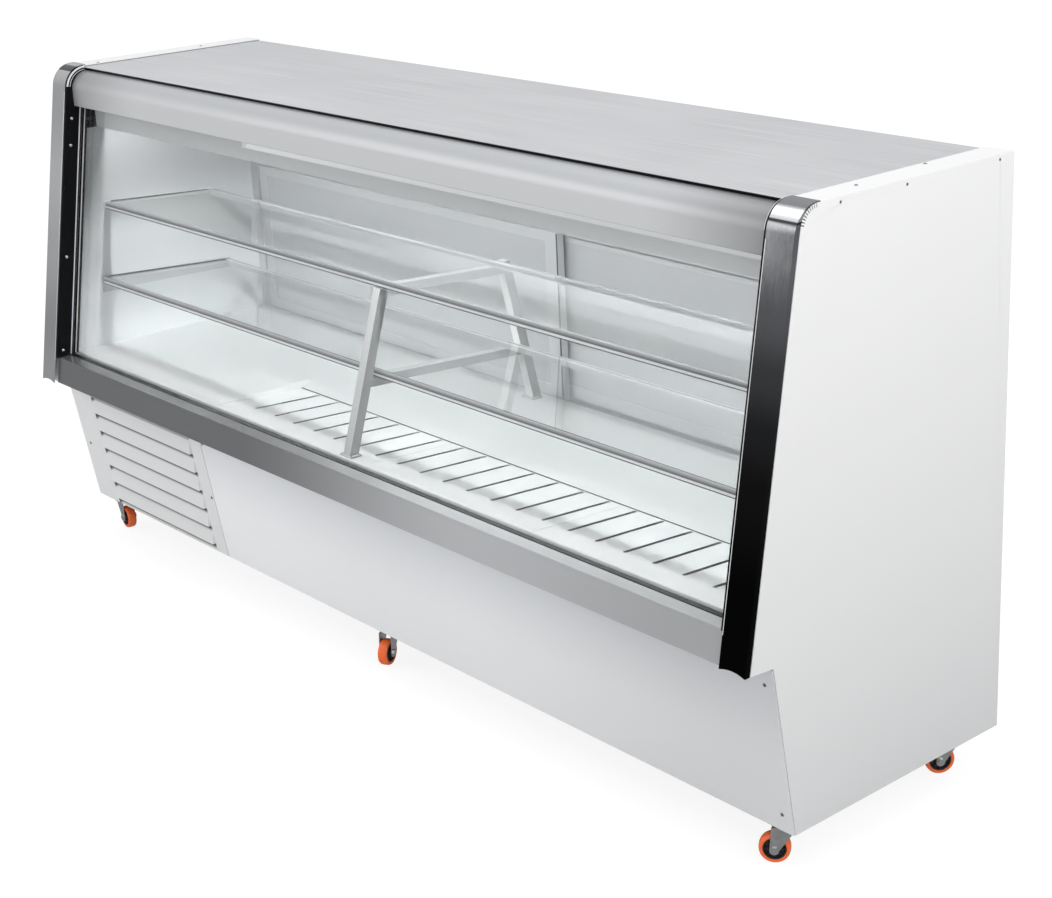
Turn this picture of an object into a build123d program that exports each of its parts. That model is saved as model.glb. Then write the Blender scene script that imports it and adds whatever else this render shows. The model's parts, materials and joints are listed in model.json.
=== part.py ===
"""Refrigerated deli case on six swivel casters, rear sliding doors, slotted deck over a cold trough.

Frame: millimetres, +Z up, origin on the floor under the middle of the case.
The customer's side faces -Y, the server's side +Y, and the length runs along X.
"""
import os
from math import atan, cos, radians, sin, tan

from build123d import *

os.makedirs("parts", exist_ok=True)

# ---- Driving dimensions -------------------------------------------------------------------
LENGTH = 2650
HEIGHT = 1300
REAR_Y = 374
BASE_Z = 90                     # underside of the body, standing on its casters

TOP_FRONT_Y = -216              # where the front slope would meet the top, before rounding
NOSE_Y, NOSE_Z = -360, 462      # front lower edge of the overhang
NOTCH_Y, NOTCH_Z = -299, 457    # back edge of the overhang
TOE_Y = -242                    # front lower edge of the body
CORNER_R = 45

PANEL_T = 66                    # thickness of an insulated end
SHEET = 1.5                     # outer sheet
LINER = 1.2                     # inner sheet
PROUD = 14                      # the trims stand this far in front of the end panels
PANEL_TOP = HEIGHT - 2

HEADER_Z = 1196                 # lower edge of the rounded header
HEADER_END_Y = -172             # where header and trims end on the top
HEADER_FRONT_Y = -221           # upright face of the header, set back between the trims
TOP_SHEET_Z = HEIGHT - 6
CEILING_Z = 1226
VALANCE_Y, VALANCE_Z = -158, 1133

LIP_Z = 530                     # upper lip of the fascia
FASCIA_OUT = 4
GLASS_T = 5
GLASS_OUTS = (-30, -47)         # front faces of the outer and the inner pane
CHANNEL_T = 6                   # black side channels that hold the panes

DECK_Z = 532
DECK_FRONT_Y = -286
LEDGE_Y = 10                    # front edge of the ledge behind the slotted pans
PAN_REAR_Y, PAN_REAR_Z = -29, 515
PLAIN_DECK_X = -565             # right-hand edge of the plain deck
SLOT_PITCH = 83.3
SLOT_W, SLOT_FRONT_Y = 10, -224
SLOTS_PER_PAN = 7
PANS = 3

TROUGH_Z = 425                  # inside floor of the cold trough
TUB_Z = 365                     # underside of the insulated floor
TUB_FRONT_Y, TUB_REAR_Y = DECK_FRONT_Y - 2, 12

DOOR_TOP_Z = 954
DOOR_FRAME_Y = 312              # front face of the rear door frame
DOOR_STILE = 46
DOOR_T = 20
DOOR_LAP = 120                  # overlap of the two doors when shut
JAMB_X = 1225

SHELF_T = 6
SHELVES = {                     # front y, front z, rear y, rear z
    "upper": (-157, 926, 178, 904),
    "lower": (-188, 722, 210, 695),
}
FRAME_X = -12                   # centre line of the middle support frame
TUBE = 25

LOUVRE_PANEL_X = -648           # right-hand edge of the louvred panel
LOUVRE_X0, LOUVRE_X1 = -1211, -704
LOUVRE_PITCH, LOUVRE_FIRST, LOUVRES = 52.7, 22, 6

CONTROL_X, CONTROL_Z = -990, 250
RISER_X, RISER_Y = -610, -100   # where the pipes pass through the insulated floor

WHEEL_R, WHEEL_W, TRAIL = 31.5, 24, 25
CORE_R, AXLE_R, BORE_GAP = 23, 5, 0.05
FORK_TOP_Z = 80
CASTERS = {                     # swivel axis x, y and heading of the wheel in degrees
    "front_left": (-1262, -208, -8),
    "front_middle": (0, -208, -62),
    "front_right": (1275, -210, 219),
    "rear_left": (-1262, 296, 150),
    "rear_middle": (0, 296, 35),
    "rear_right": (1275, 286, 236),
}

HALF = LENGTH / 2
INNER_X = HALF - PANEL_T
SLOPE = atan((TOP_FRONT_Y - NOSE_Y) / (HEIGHT - NOSE_Z))
PANEL_H = NOTCH_Z - BASE_Z
PANEL_LEAN = atan((TOE_Y - NOTCH_Y) / PANEL_H)


# ---- Shared geometry ----------------------------------------------------------------------
def finish(piece, name):
    """Label a finished piece and write it."""
    piece.part.label = name
    export_step(piece.part, f"parts/{name}.step")


def slope_y(z, out=0.0):
    """Y of the sloping front at height z, moved forward by out at a right angle to it."""
    return TOP_FRONT_Y - (HEIGHT - z) * tan(SLOPE) - out / cos(SLOPE)


def lower_point(up, out=0.0):
    """Point (y, z) on the inward-leaning lower front, up along it and out from it."""
    y = TOE_Y - up * sin(PANEL_LEAN) - out * cos(PANEL_LEAN)
    z = BASE_Z + up * cos(PANEL_LEAN) - out * sin(PANEL_LEAN)
    return (y, z)


def across(x):
    """Plane at x whose sketch axes are Y and Z."""
    return Plane.YZ.offset(x)


def polygon(*points, mode=Mode.ADD):
    """Closed straight-sided face in the current sketch."""
    with BuildLine() as outline:
        Polyline(*points, close=True)
    make_face(outline.edges(), mode=mode)


def folded(*points, thickness, radius=0.0, side=Side.LEFT):
    """Sheet of even thickness, folded along a path, in the current sketch."""
    with BuildLine() as outline:
        FilletPolyline(*points, radius=radius)
        offset(amount=thickness, side=side)
    make_face(outline.edges())


def slope_slab(z0, z1, out_back, out_front, mode=Mode.ADD):
    """Strip that runs parallel to the sloping front."""
    polygon((slope_y(z0, out_front), z0), (slope_y(z1, out_front), z1),
            (slope_y(z1, out_back), z1), (slope_y(z0, out_back), z0), mode=mode)


def end_outline(inset=0.0, mode=Mode.ADD):
    """Side outline of an insulated end, inset all round."""
    top = PANEL_TOP - inset
    lower = lower_point(0, -inset)
    base = BASE_Z + inset
    toe_y = lower[0] - (base - lower[1]) * tan(PANEL_LEAN)
    nose = (slope_y(NOSE_Z + inset, -inset), NOSE_Z + inset)
    notch = (NOTCH_Y + inset, NOTCH_Z + inset)
    with BuildLine() as outline:
        FilletPolyline((REAR_Y - inset, base), (REAR_Y - inset, top), (slope_y(top, -inset), top),
                       nose, notch, (toe_y, base),
                       radius=[0, 0, CORNER_R - inset, 0, 0, 0], close=True)
    make_face(outline.edges(), mode=mode)


def corner_strip(z_low, out, thickness, radius):
    """Sheet that follows the sloping front and wraps the rounded top corner."""
    back = out - thickness
    under = HEIGHT - thickness
    with BuildLine() as outline:
        FilletPolyline((slope_y(z_low, out), z_low), (slope_y(HEIGHT, out), HEIGHT),
                       (HEADER_END_Y, HEIGHT), radius=radius)
        Line((HEADER_END_Y, HEIGHT), (HEADER_END_Y, under))
        FilletPolyline((HEADER_END_Y, under), (slope_y(under, back), under),
                       (slope_y(z_low, back), z_low), radius=radius - thickness)
        Line((slope_y(z_low, back), z_low), (slope_y(z_low, out), z_low))
    make_face(outline.edges())


# ---- Insulated ends -----------------------------------------------------------------------
SLITS = 10
SLIT_LENGTH, SLIT_W, SLIT_DEPTH = 8, 2, 6
SCREW_R, SCREW_H = 4, 2.2
TOP_SCREW_YS, TOP_SCREW_Z = (-120, 60, 330), PANEL_TOP - 10
ARC_Z = PANEL_TOP - CORNER_R
ARC_Y = slope_y(ARC_Z, -CORNER_R)


def end_skin(name, side):
    """Outer tray: side sheet with its edge flange, slit where the flange rounds the corner."""
    with BuildPart() as skin:
        with BuildSketch(across(side * HALF)):
            end_outline()
        extrude(amount=-side * PANEL_T)
        with BuildSketch(across(side * (HALF - SHEET))):
            end_outline(SHEET)
        extrude(amount=-side * (PANEL_T - SHEET), mode=Mode.SUBTRACT)
        with BuildSketch(across(side * HALF)):
            with Locations((ARC_Y, ARC_Z)):
                with PolarLocations(CORNER_R - SLIT_LENGTH / 2, SLITS, start_angle=95, angular_range=70,
                                    endpoint=True):
                    Rectangle(SLIT_LENGTH + 1, SLIT_W)
        extrude(amount=-side * SLIT_DEPTH, mode=Mode.SUBTRACT)
        with BuildSketch(across(side * HALF)):
            with Locations(*[(y, TOP_SCREW_Z) for y in TOP_SCREW_YS]):
                Circle(SCREW_R - 1)
        extrude(amount=-side * SHEET, mode=Mode.SUBTRACT)
    finish(skin, name)


end_skin("end_skin_left", -1)
end_skin("end_skin_right", 1)

REAR_BOX_D = REAR_Y - LINER - DOOR_FRAME_Y
REAR_BOX_H = TOP_SHEET_Z - LINER - DOOR_TOP_Z - 30
REAR_BOX_Y = DOOR_FRAME_Y + REAR_BOX_D / 2
REAR_BOX_Z = DOOR_TOP_Z + 30 + REAR_BOX_H / 2
with BuildPart() as insulation_cores:
    for side in (-1, 1):
        with BuildSketch(across(side * (HALF - SHEET))):
            end_outline(SHEET)
        extrude(amount=-side * (PANEL_T - SHEET - LINER))
    with BuildSketch(Plane.XY.offset(CEILING_Z)):
        with Locations((0, (HEADER_END_Y + 2 + DOOR_FRAME_Y) / 2)):
            Rectangle(2 * INNER_X, DOOR_FRAME_Y - HEADER_END_Y - 2)
    extrude(amount=TOP_SHEET_Z - LINER - CEILING_Z)
    with BuildSketch(across(-INNER_X + LINER)):
        with Locations((REAR_BOX_Y, REAR_BOX_Z)):
            Rectangle(REAR_BOX_D - 2 * LINER, REAR_BOX_H - 2 * LINER)
    extrude(amount=2 * (INNER_X - LINER))
finish(insulation_cores, "insulation_cores")

with BuildPart() as end_liners:
    for side in (-1, 1):
        with BuildSketch(across(side * (INNER_X + LINER))):
            end_outline(SHEET)
        extrude(amount=-side * LINER)
finish(end_liners, "end_liners")


# ---- Front trims, header and top ----------------------------------------------------------
TRIM_R = 60
RETURN_GAP = 2
ARCH_RISE = 5


def front_trim(name, side):
    """Bright strip down the front of an end, with a side return and an arched lower end."""
    x_outer = side * HALF
    x_inner = side * INNER_X
    with BuildPart() as trim:
        with BuildSketch(across(x_inner)):
            corner_strip(NOSE_Z, PROUD, SHEET, TRIM_R)
        extrude(amount=side * PANEL_T)
        with BuildSketch(across(x_outer - side * SHEET)):
            corner_strip(NOSE_Z, PROUD, PROUD - RETURN_GAP, TRIM_R)
            end_outline(-RETURN_GAP / 4, mode=Mode.SUBTRACT)
        extrude(amount=side * SHEET)
        with BuildSketch(Plane.XZ.offset(-NOSE_Y)):
            with BuildLine():
                Line((x_inner, NOSE_Z - 1), (x_outer, NOSE_Z - 1))
                ThreePointArc((x_inner, NOSE_Z - 1), ((x_inner + x_outer) / 2, NOSE_Z + ARCH_RISE),
                              (x_outer, NOSE_Z - 1))
            make_face()
        extrude(amount=PROUD * 2, both=True, mode=Mode.SUBTRACT)
    finish(trim, name)


front_trim("front_trim_left", -1)
front_trim("front_trim_right", 1)

HEADER_HALF = INNER_X - 0.5
HEADER_TOP = TOP_SHEET_Z - 8
HEADER_RADII = [3, 48]          # at its lower and its upper bend
with BuildPart() as header:
    with BuildSketch(across(-HEADER_HALF)):
        folded((slope_y(HEADER_Z, GLASS_OUTS[0] + 2), HEADER_Z), (HEADER_FRONT_Y, HEADER_Z),
               (HEADER_FRONT_Y, HEADER_TOP), (HEADER_END_Y, HEADER_TOP),
               thickness=LINER, radius=HEADER_RADII, side=Side.RIGHT)
    extrude(amount=2 * HEADER_HALF)
finish(header, "header")

TOP_FLANGE = 36
TOP_LIP_Y = HEADER_END_Y - 8    # the top sheet reaches over the header's upper bend
with BuildPart() as top_sheet:
    with BuildSketch(across(-HEADER_HALF)):
        folded((TOP_LIP_Y, TOP_SHEET_Z - LINER), (REAR_Y - LINER, TOP_SHEET_Z - LINER),
               (REAR_Y - LINER, TOP_SHEET_Z - TOP_FLANGE), thickness=LINER)
    extrude(amount=2 * HEADER_HALF)
finish(top_sheet, "top_sheet")

with BuildPart() as ceiling_liner:
    with BuildSketch(Plane.XY.offset(CEILING_Z - LINER)):
        with Locations((0, (HEADER_END_Y + 2 + DOOR_FRAME_Y) / 2)):
            Rectangle(2 * INNER_X, DOOR_FRAME_Y - HEADER_END_Y - 2)
    extrude(amount=LINER)
finish(ceiling_liner, "ceiling_liner")

VALANCE_RETURN = 30
with BuildPart() as light_valance:
    with BuildSketch(across(-INNER_X)):
        folded((VALANCE_Y, CEILING_Z - LINER), (VALANCE_Y, VALANCE_Z),
               (VALANCE_Y + VALANCE_RETURN, VALANCE_Z), thickness=LINER)
    extrude(amount=2 * INNER_X)
finish(light_valance, "light_valance")

TUBE_LENGTH, TUBE_R, TUBE_CAP = 1180, 13, 14
LAMP_Y, LAMP_Z = VALANCE_Y + 42, CEILING_Z - LINER - 22
with BuildPart() as light_tubes:
    for x in (-TUBE_LENGTH / 2 - 20, TUBE_LENGTH / 2 + 20):
        with BuildSketch(Plane.YZ.offset(x - TUBE_LENGTH / 2)):
            with Locations((LAMP_Y, LAMP_Z)):
                Circle(TUBE_R)
        extrude(amount=TUBE_LENGTH)
        for end in (-1, 1):
            with BuildSketch(Plane.YZ.offset(x + end * TUBE_LENGTH / 2)):
                with Locations((LAMP_Y, (LAMP_Z - TUBE_R - 2 + CEILING_Z - LINER) / 2)):
                    Rectangle(TUBE_R * 2 + 4, CEILING_Z - LINER - LAMP_Z + TUBE_R + 2)
            extrude(amount=end * TUBE_CAP)
finish(light_tubes, "light_tubes")

# ---- Front glass, its channels, and the fascia --------------------------------------------
PANE_HALF = INNER_X - 3.5
PANE_Z0, PANE_Z1 = 506, 1212
for name, out in zip(("front_glass_outer", "front_glass_inner"), GLASS_OUTS):
    with BuildPart() as pane:
        with BuildSketch(across(-PANE_HALF)):
            slope_slab(PANE_Z0, PANE_Z1, out - GLASS_T, out)
        extrude(amount=2 * PANE_HALF)
    finish(pane, name)

CHANNEL_BACK = GLASS_OUTS[1] - GLASS_T - 6
GROOVE_GAP = 0.5
BLOCK_T = 10


def cheek_outline():
    """Side cheek that closes the space between a trim and the header's rounded end."""
    out = PROUD - SHEET - 0.5
    top = HEIGHT - SHEET - 0.5
    with BuildLine() as outline:
        FilletPolyline((HEADER_FRONT_Y + 2, HEADER_Z - 1), (slope_y(HEADER_Z - 1, out), HEADER_Z - 1),
                       (slope_y(top, out), top), (HEADER_END_Y, top),
                       radius=[0, TRIM_R - SHEET - 0.5])
    with BuildLine() as closing:
        Line((HEADER_END_Y, top), (HEADER_END_Y, HEADER_TOP - 2))
        Line((HEADER_END_Y, HEADER_TOP - 2), (HEADER_FRONT_Y + 2, HEADER_Z - 1))
    make_face(outline.edges() + closing.edges())
    with BuildLine() as header_end:
        FilletPolyline((HEADER_END_Y + 10, HEADER_Z - 0.5), (HEADER_FRONT_Y - 0.5, HEADER_Z - 0.5),
                       (HEADER_FRONT_Y - 0.5, HEADER_TOP + 0.5), (HEADER_END_Y + 10, HEADER_TOP + 0.5),
                       radius=[0, 0, HEADER_RADII[1] + 0.5, 0], close=True)
    make_face(header_end.edges(), mode=Mode.SUBTRACT)
    polygon((TOP_LIP_Y - 0.5, HEADER_TOP), (TOP_LIP_Y - 0.5, HEIGHT), (HEADER_END_Y + 1, HEIGHT),
            (HEADER_END_Y + 1, HEADER_TOP), mode=Mode.SUBTRACT)


with BuildPart() as glass_channels:
    for side in (-1, 1):
        with BuildSketch(across(side * INNER_X)):
            slope_slab(LIP_Z + 1, HEADER_Z - 1, CHANNEL_BACK, PROUD - SHEET - 0.5)
        extrude(amount=-side * CHANNEL_T)
        with BuildSketch(across(side * (PANE_HALF + GROOVE_GAP))):
            for out in GLASS_OUTS:
                slope_slab(LIP_Z, HEADER_Z, out - GLASS_T - GROOVE_GAP, out + GROOVE_GAP)
        extrude(amount=-side * CHANNEL_T, mode=Mode.SUBTRACT)
        with BuildSketch(across(side * INNER_X)):
            cheek_outline()
        extrude(amount=-side * CHANNEL_T)
        with BuildSketch(across(side * INNER_X)):
            polygon((slope_y(VALANCE_Z, CHANNEL_BACK - 1), VALANCE_Z),
                    (slope_y(HEADER_Z, CHANNEL_BACK - 1), HEADER_Z),
                    (VALANCE_Y - 1, HEADER_Z), (VALANCE_Y - 1, VALANCE_Z))
        extrude(amount=-side * BLOCK_T)
    with BuildSketch(across(-PANE_HALF)):
        slope_slab(PANE_Z0 + 1, LIP_Z, GLASS_OUTS[1], GLASS_OUTS[0] - GLASS_T)
    extrude(amount=2 * PANE_HALF)
finish(glass_channels, "glass_channels")

SILL_Z = PANE_Z0 - 1.2
SILL_FRONT, SILL_BACK = GLASS_OUTS[0] + 0.5, GLASS_OUTS[1] - GLASS_T - 0.5
with BuildPart() as fascia:
    with BuildSketch(across(-HEADER_HALF)):
        slope_slab(NOSE_Z, LIP_Z, FASCIA_OUT - LINER, FASCIA_OUT)
        slope_slab(LIP_Z - LINER, LIP_Z, SILL_FRONT, FASCIA_OUT)
        slope_slab(SILL_Z - LINER, LIP_Z, SILL_FRONT, SILL_FRONT + LINER)
        slope_slab(SILL_Z - LINER, SILL_Z, SILL_BACK, SILL_FRONT + LINER)
        slope_slab(SILL_Z - LINER, LIP_Z - 2, SILL_BACK - LINER, SILL_BACK)
        polygon((slope_y(NOSE_Z, FASCIA_OUT), NOSE_Z), (NOTCH_Y, NOTCH_Z), (NOTCH_Y, NOTCH_Z + LINER),
                (slope_y(NOSE_Z + LINER, FASCIA_OUT), NOSE_Z + LINER))
    extrude(amount=2 * HEADER_HALF)
finish(fascia, "fascia")

# ---- Lower front --------------------------------------------------------------------------
PANEL_GAP = 3
PANEL_TOP_UP = PANEL_H / cos(PANEL_LEAN) - 3
COVER_HALF = HALF - 1.5


def cover_sheet(x0, x1):
    """Flat cover on the leaning lower front, with returns at both ends."""
    with BuildSketch(across(x0)) as face:
        polygon(lower_point(0, PANEL_GAP), lower_point(PANEL_TOP_UP, PANEL_GAP),
                lower_point(PANEL_TOP_UP, PANEL_GAP + LINER), lower_point(0, PANEL_GAP + LINER))
    extrude(face.sketch, amount=x1 - x0)
    for x in (x0, x1 - LINER):
        with BuildSketch(across(x)) as end:
            polygon(lower_point(0, 0.5), lower_point(PANEL_TOP_UP, 0.5),
                    lower_point(PANEL_TOP_UP, PANEL_GAP), lower_point(0, PANEL_GAP))
        extrude(end.sketch, amount=LINER)


with BuildPart() as lower_front_panel:
    cover_sheet(LOUVRE_PANEL_X + 1.5, COVER_HALF)
finish(lower_front_panel, "lower_front_panel")

HOOD_H, HOOD_OUT, HOOD_OPEN = 34, 8, 26
with BuildPart() as louvre_panel:
    cover_sheet(-COVER_HALF, LOUVRE_PANEL_X - 1.5)
    for i in range(LOUVRES):
        v = LOUVRE_FIRST + i * LOUVRE_PITCH
        face = PANEL_GAP + LINER
        with BuildSketch(across(LOUVRE_X0 + LINER)):
            polygon(lower_point(v, PANEL_GAP - 1), lower_point(v + HOOD_OPEN, PANEL_GAP - 1),
                    lower_point(v + HOOD_OPEN, face + 1), lower_point(v, face + 1))
        extrude(amount=LOUVRE_X1 - LOUVRE_X0 - 2 * LINER, mode=Mode.SUBTRACT)
        with BuildSketch(across(LOUVRE_X0)):
            polygon(lower_point(v + HOOD_H, face), lower_point(v, face + HOOD_OUT),
                    lower_point(v, face + HOOD_OUT - LINER), lower_point(v + HOOD_H - 5, face - LINER),
                    lower_point(v + HOOD_H, face - LINER))
        extrude(amount=LOUVRE_X1 - LOUVRE_X0)
        for x in (LOUVRE_X0, LOUVRE_X1 - LINER):
            with BuildSketch(across(x)):
                polygon(lower_point(v + HOOD_H, face), lower_point(v, face + HOOD_OUT),
                        lower_point(v, PANEL_GAP), lower_point(v + HOOD_H, PANEL_GAP))
            extrude(amount=LINER)
finish(louvre_panel, "louvre_panel")

# ---- Insulated floor, trough and deck -----------------------------------------------------
PIPE_R = 6
with BuildPart() as tub_core:
    with BuildSketch(across(-INNER_X)):
        polygon((slope_y(NOSE_Z + 2, FASCIA_OUT - LINER), NOSE_Z + 2),
                (slope_y(SILL_Z - LINER, FASCIA_OUT - LINER), SILL_Z - LINER),
                (TUB_FRONT_Y - LINER, SILL_Z - LINER), (TUB_FRONT_Y - LINER, TROUGH_Z),
                (TUB_REAR_Y, TROUGH_Z), (TUB_REAR_Y, DECK_Z - LINER), (DOOR_FRAME_Y, DECK_Z - LINER),
                (DOOR_FRAME_Y, DECK_Z - 32), (REAR_Y - LINER, DECK_Z - 32), (REAR_Y - LINER, TUB_Z),
                lower_point((TUB_Z - BASE_Z) / cos(PANEL_LEAN)), (NOTCH_Y, NOTCH_Z + LINER))
    extrude(amount=2 * INNER_X)
    with BuildSketch(Plane.XY.offset(TUB_Z)):
        with Locations((RISER_X, RISER_Y), (RISER_X, RISER_Y - 40)):
            Circle(PIPE_R + 1)
    extrude(amount=TROUGH_Z - TUB_Z, mode=Mode.SUBTRACT)
finish(tub_core, "tub_core")

with BuildPart() as tub_liner:
    with BuildSketch(across(-INNER_X)):
        folded((TUB_FRONT_Y, DECK_Z - 10), (TUB_FRONT_Y, TROUGH_Z + LINER),
               (TUB_REAR_Y - LINER, TROUGH_Z + LINER), (TUB_REAR_Y - LINER, PAN_REAR_Z - 6),
               thickness=LINER, side=Side.RIGHT)
    extrude(amount=2 * INNER_X)
    with BuildSketch(Plane.XY.offset(TROUGH_Z)):
        with Locations((RISER_X, RISER_Y), (RISER_X, RISER_Y - 40)):
            Circle(PIPE_R + 1)
    extrude(amount=LINER, mode=Mode.SUBTRACT)
finish(tub_liner, "tub_liner")

FLANGE_DROP = 24
with BuildPart() as deck_sheet:
    with BuildSketch(across(-INNER_X)):
        folded((DECK_FRONT_Y, DECK_Z - FLANGE_DROP), (DECK_FRONT_Y, DECK_Z), (DOOR_FRAME_Y, DECK_Z),
               thickness=LINER, radius=4, side=Side.RIGHT)
    extrude(amount=INNER_X + PLAIN_DECK_X)
    with BuildSketch(across(PLAIN_DECK_X)):
        folded((PAN_REAR_Y + 2, PAN_REAR_Z - 12), (PAN_REAR_Y + 2, PAN_REAR_Z + 1), (LEDGE_Y, DECK_Z),
               (DOOR_FRAME_Y, DECK_Z), thickness=LINER, side=Side.RIGHT)
    extrude(amount=INNER_X - PLAIN_DECK_X)
    with BuildSketch(across(PLAIN_DECK_X - LINER)):
        polygon((DECK_FRONT_Y, DECK_Z - FLANGE_DROP), (DECK_FRONT_Y, DECK_Z - 5), (DECK_FRONT_Y + 5, DECK_Z),
                (LEDGE_Y, DECK_Z), (PAN_REAR_Y, PAN_REAR_Z - 12))
    extrude(amount=LINER)
finish(deck_sheet, "deck_sheet")

PAN_GAP = 1
PAN_EDGES = [PLAIN_DECK_X + PAN_GAP]
for i in range(1, PANS):
    PAN_EDGES.append(-478 + (i * SLOTS_PER_PAN - 0.5) * SLOT_PITCH)
PAN_EDGES.append(INNER_X - PAN_GAP)
with BuildPart() as deck_pans:
    for x0, x1 in zip(PAN_EDGES, PAN_EDGES[1:]):
        with BuildSketch(across(x0)):
            folded((DECK_FRONT_Y, DECK_Z - FLANGE_DROP), (DECK_FRONT_Y, DECK_Z), (PAN_REAR_Y, PAN_REAR_Z),
                   (PAN_REAR_Y, PAN_REAR_Z - 12), thickness=LINER, radius=4, side=Side.RIGHT)
        extrude(amount=x1 - x0 - PAN_GAP)
    with BuildSketch(Plane.XY.offset(DECK_Z)):
        for i in range(PANS * SLOTS_PER_PAN):
            with Locations((-478 + i * SLOT_PITCH, (SLOT_FRONT_Y + PAN_REAR_Y - 4) / 2)):
                SlotOverall(PAN_REAR_Y - 4 - SLOT_FRONT_Y, SLOT_W, rotation=90)
    extrude(amount=-20, mode=Mode.SUBTRACT)
finish(deck_pans, "deck_pans")

# ---- Rear: panels, door frame, doors ------------------------------------------------------
with BuildPart() as rear_upper_panel:
    with BuildSketch(across(-INNER_X)):
        with Locations((REAR_BOX_Y, REAR_BOX_Z)):
            Rectangle(REAR_BOX_D, REAR_BOX_H)
        with Locations((REAR_Y - LINER / 2, (DOOR_TOP_Z + 30 + TOP_SHEET_Z - TOP_FLANGE - 1) / 2)):
            Rectangle(LINER, TOP_SHEET_Z - TOP_FLANGE - 1 - DOOR_TOP_Z - 30)
    extrude(amount=2 * INNER_X)
    with BuildSketch(across(-INNER_X)):
        with Locations((REAR_BOX_Y, REAR_BOX_Z)):
            Rectangle(REAR_BOX_D - 2 * LINER, REAR_BOX_H - 2 * LINER)
    extrude(amount=2 * INNER_X, mode=Mode.SUBTRACT)
finish(rear_upper_panel, "rear_upper_panel")

WINDOW_W, WINDOW_H = 220, 120
VENT_X, VENT_W, VENT_H, VENTS = -640, 240, 8, 9
PANEL_SEAM = 1                  # between the narrow cover round the lead gland and the long cover
with BuildPart() as rear_lower_panel:
    with BuildSketch(Plane.XZ.offset(-REAR_Y)):
        with Locations((0, (BASE_Z + DECK_Z - 32) / 2 + 1)):
            Rectangle(2 * INNER_X, DECK_Z - 32 - BASE_Z - 2)
        with Locations((CONTROL_X, CONTROL_Z)):
            Rectangle(WINDOW_W, WINDOW_H, mode=Mode.SUBTRACT)
        with Locations((VENT_X, CONTROL_Z)):
            with GridLocations(1, 2.5 * VENT_H, 1, VENTS):
                SlotOverall(VENT_W, VENT_H, mode=Mode.SUBTRACT)
        with Locations((CONTROL_X - 170, CONTROL_Z - 40)):
            Circle(9, mode=Mode.SUBTRACT)
        with Locations((CONTROL_X - (WINDOW_W + PANEL_SEAM) / 2, (BASE_Z + DECK_Z) / 2)):
            Rectangle(PANEL_SEAM, DECK_Z - BASE_Z, mode=Mode.SUBTRACT)
    extrude(amount=LINER)
finish(rear_lower_panel, "rear_lower_panel")

FRAME_MEMBER = 30
TRACK_GAP = 2
TRACK_Y = (DOOR_FRAME_Y + 4 + TRACK_GAP, DOOR_FRAME_Y + 4 + 3 * TRACK_GAP + DOOR_T + 2)
TRACK_DEPTH = 20
with BuildPart() as door_track_frame:
    with BuildSketch(Plane.XZ.offset(-REAR_Y + LINER)):
        with Locations((0, (DOOR_TOP_Z + DECK_Z) / 2 - 1)):
            Rectangle(2 * INNER_X, DOOR_TOP_Z - DECK_Z + 2 * FRAME_MEMBER + 2)
        with Locations((0, (DOOR_TOP_Z + DECK_Z) / 2)):
            Rectangle(2 * JAMB_X, DOOR_TOP_Z - DECK_Z, mode=Mode.SUBTRACT)
    extrude(amount=REAR_Y - LINER - DOOR_FRAME_Y)
    for y in TRACK_Y:
        with BuildSketch(across(-JAMB_X - 12)):
            with Locations((y + DOOR_T / 2, (DOOR_TOP_Z + DECK_Z) / 2)):
                Rectangle(DOOR_T + 2 * TRACK_GAP, DOOR_TOP_Z - DECK_Z + 2 * TRACK_DEPTH)
        extrude(amount=2 * JAMB_X + 24, mode=Mode.SUBTRACT)
finish(door_track_frame, "door_track_frame")

DOOR_Z0, DOOR_Z1 = DECK_Z - TRACK_DEPTH + 2, DOOR_TOP_Z + TRACK_DEPTH - 2
DOOR_W = JAMB_X + 10 + DOOR_LAP / 2
PANEL_INSET, PANEL_D = 8, 12
CUP_W, CUP_H, CUP_D = 22, 120, 6


def sliding_door(side, y0):
    """Framed door: an aluminium ring with a flush pull, and the white panel that it holds."""
    word = "left" if side < 0 else "right"
    x_mid = side * (JAMB_X + 10 - DOOR_W / 2)
    z_mid = (DOOR_Z0 + DOOR_Z1) / 2
    door_h = DOOR_Z1 - DOOR_Z0
    opening = (DOOR_W - 2 * DOOR_STILE, door_h - 2 * DOOR_STILE)
    pull = (side * (JAMB_X - DOOR_STILE / 2 + 10), z_mid)
    with BuildPart() as ring:
        with BuildSketch(Plane.XZ.offset(-y0 - DOOR_T)):
            with Locations((x_mid, z_mid)):
                Rectangle(DOOR_W, door_h)
                Rectangle(*opening, mode=Mode.SUBTRACT)
        extrude(amount=DOOR_T)
        with BuildSketch(Plane.XZ.offset(-y0 - (DOOR_T + PANEL_D) / 2)):
            with Locations((x_mid, z_mid)):
                Rectangle(opening[0] + 2 * PANEL_INSET, opening[1] + 2 * PANEL_INSET)
        extrude(amount=PANEL_D, mode=Mode.SUBTRACT)
        with BuildSketch(Plane.XZ.offset(-y0 - DOOR_T)):
            with Locations(pull):
                Rectangle(CUP_W, CUP_H)
        extrude(amount=CUP_D, mode=Mode.SUBTRACT)
        with BuildSketch(Plane.XZ.offset(-y0 - DOOR_T)):
            with Locations(pull):
                Rectangle(CUP_W, CUP_H)
                Rectangle(CUP_W - 4, CUP_H - 4, mode=Mode.SUBTRACT)
        extrude(amount=CUP_D)
    finish(ring, f"door_frame_{word}")
    with BuildPart() as panel:
        with BuildSketch(Plane.XZ.offset(-y0 - (DOOR_T + PANEL_D) / 2)):
            with Locations((x_mid, z_mid)):
                Rectangle(opening[0] + 2 * PANEL_INSET, opening[1] + 2 * PANEL_INSET)
        extrude(amount=PANEL_D)
    finish(panel, f"door_panel_{word}")


sliding_door(-1, TRACK_Y[0])
sliding_door(1, TRACK_Y[1])

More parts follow.
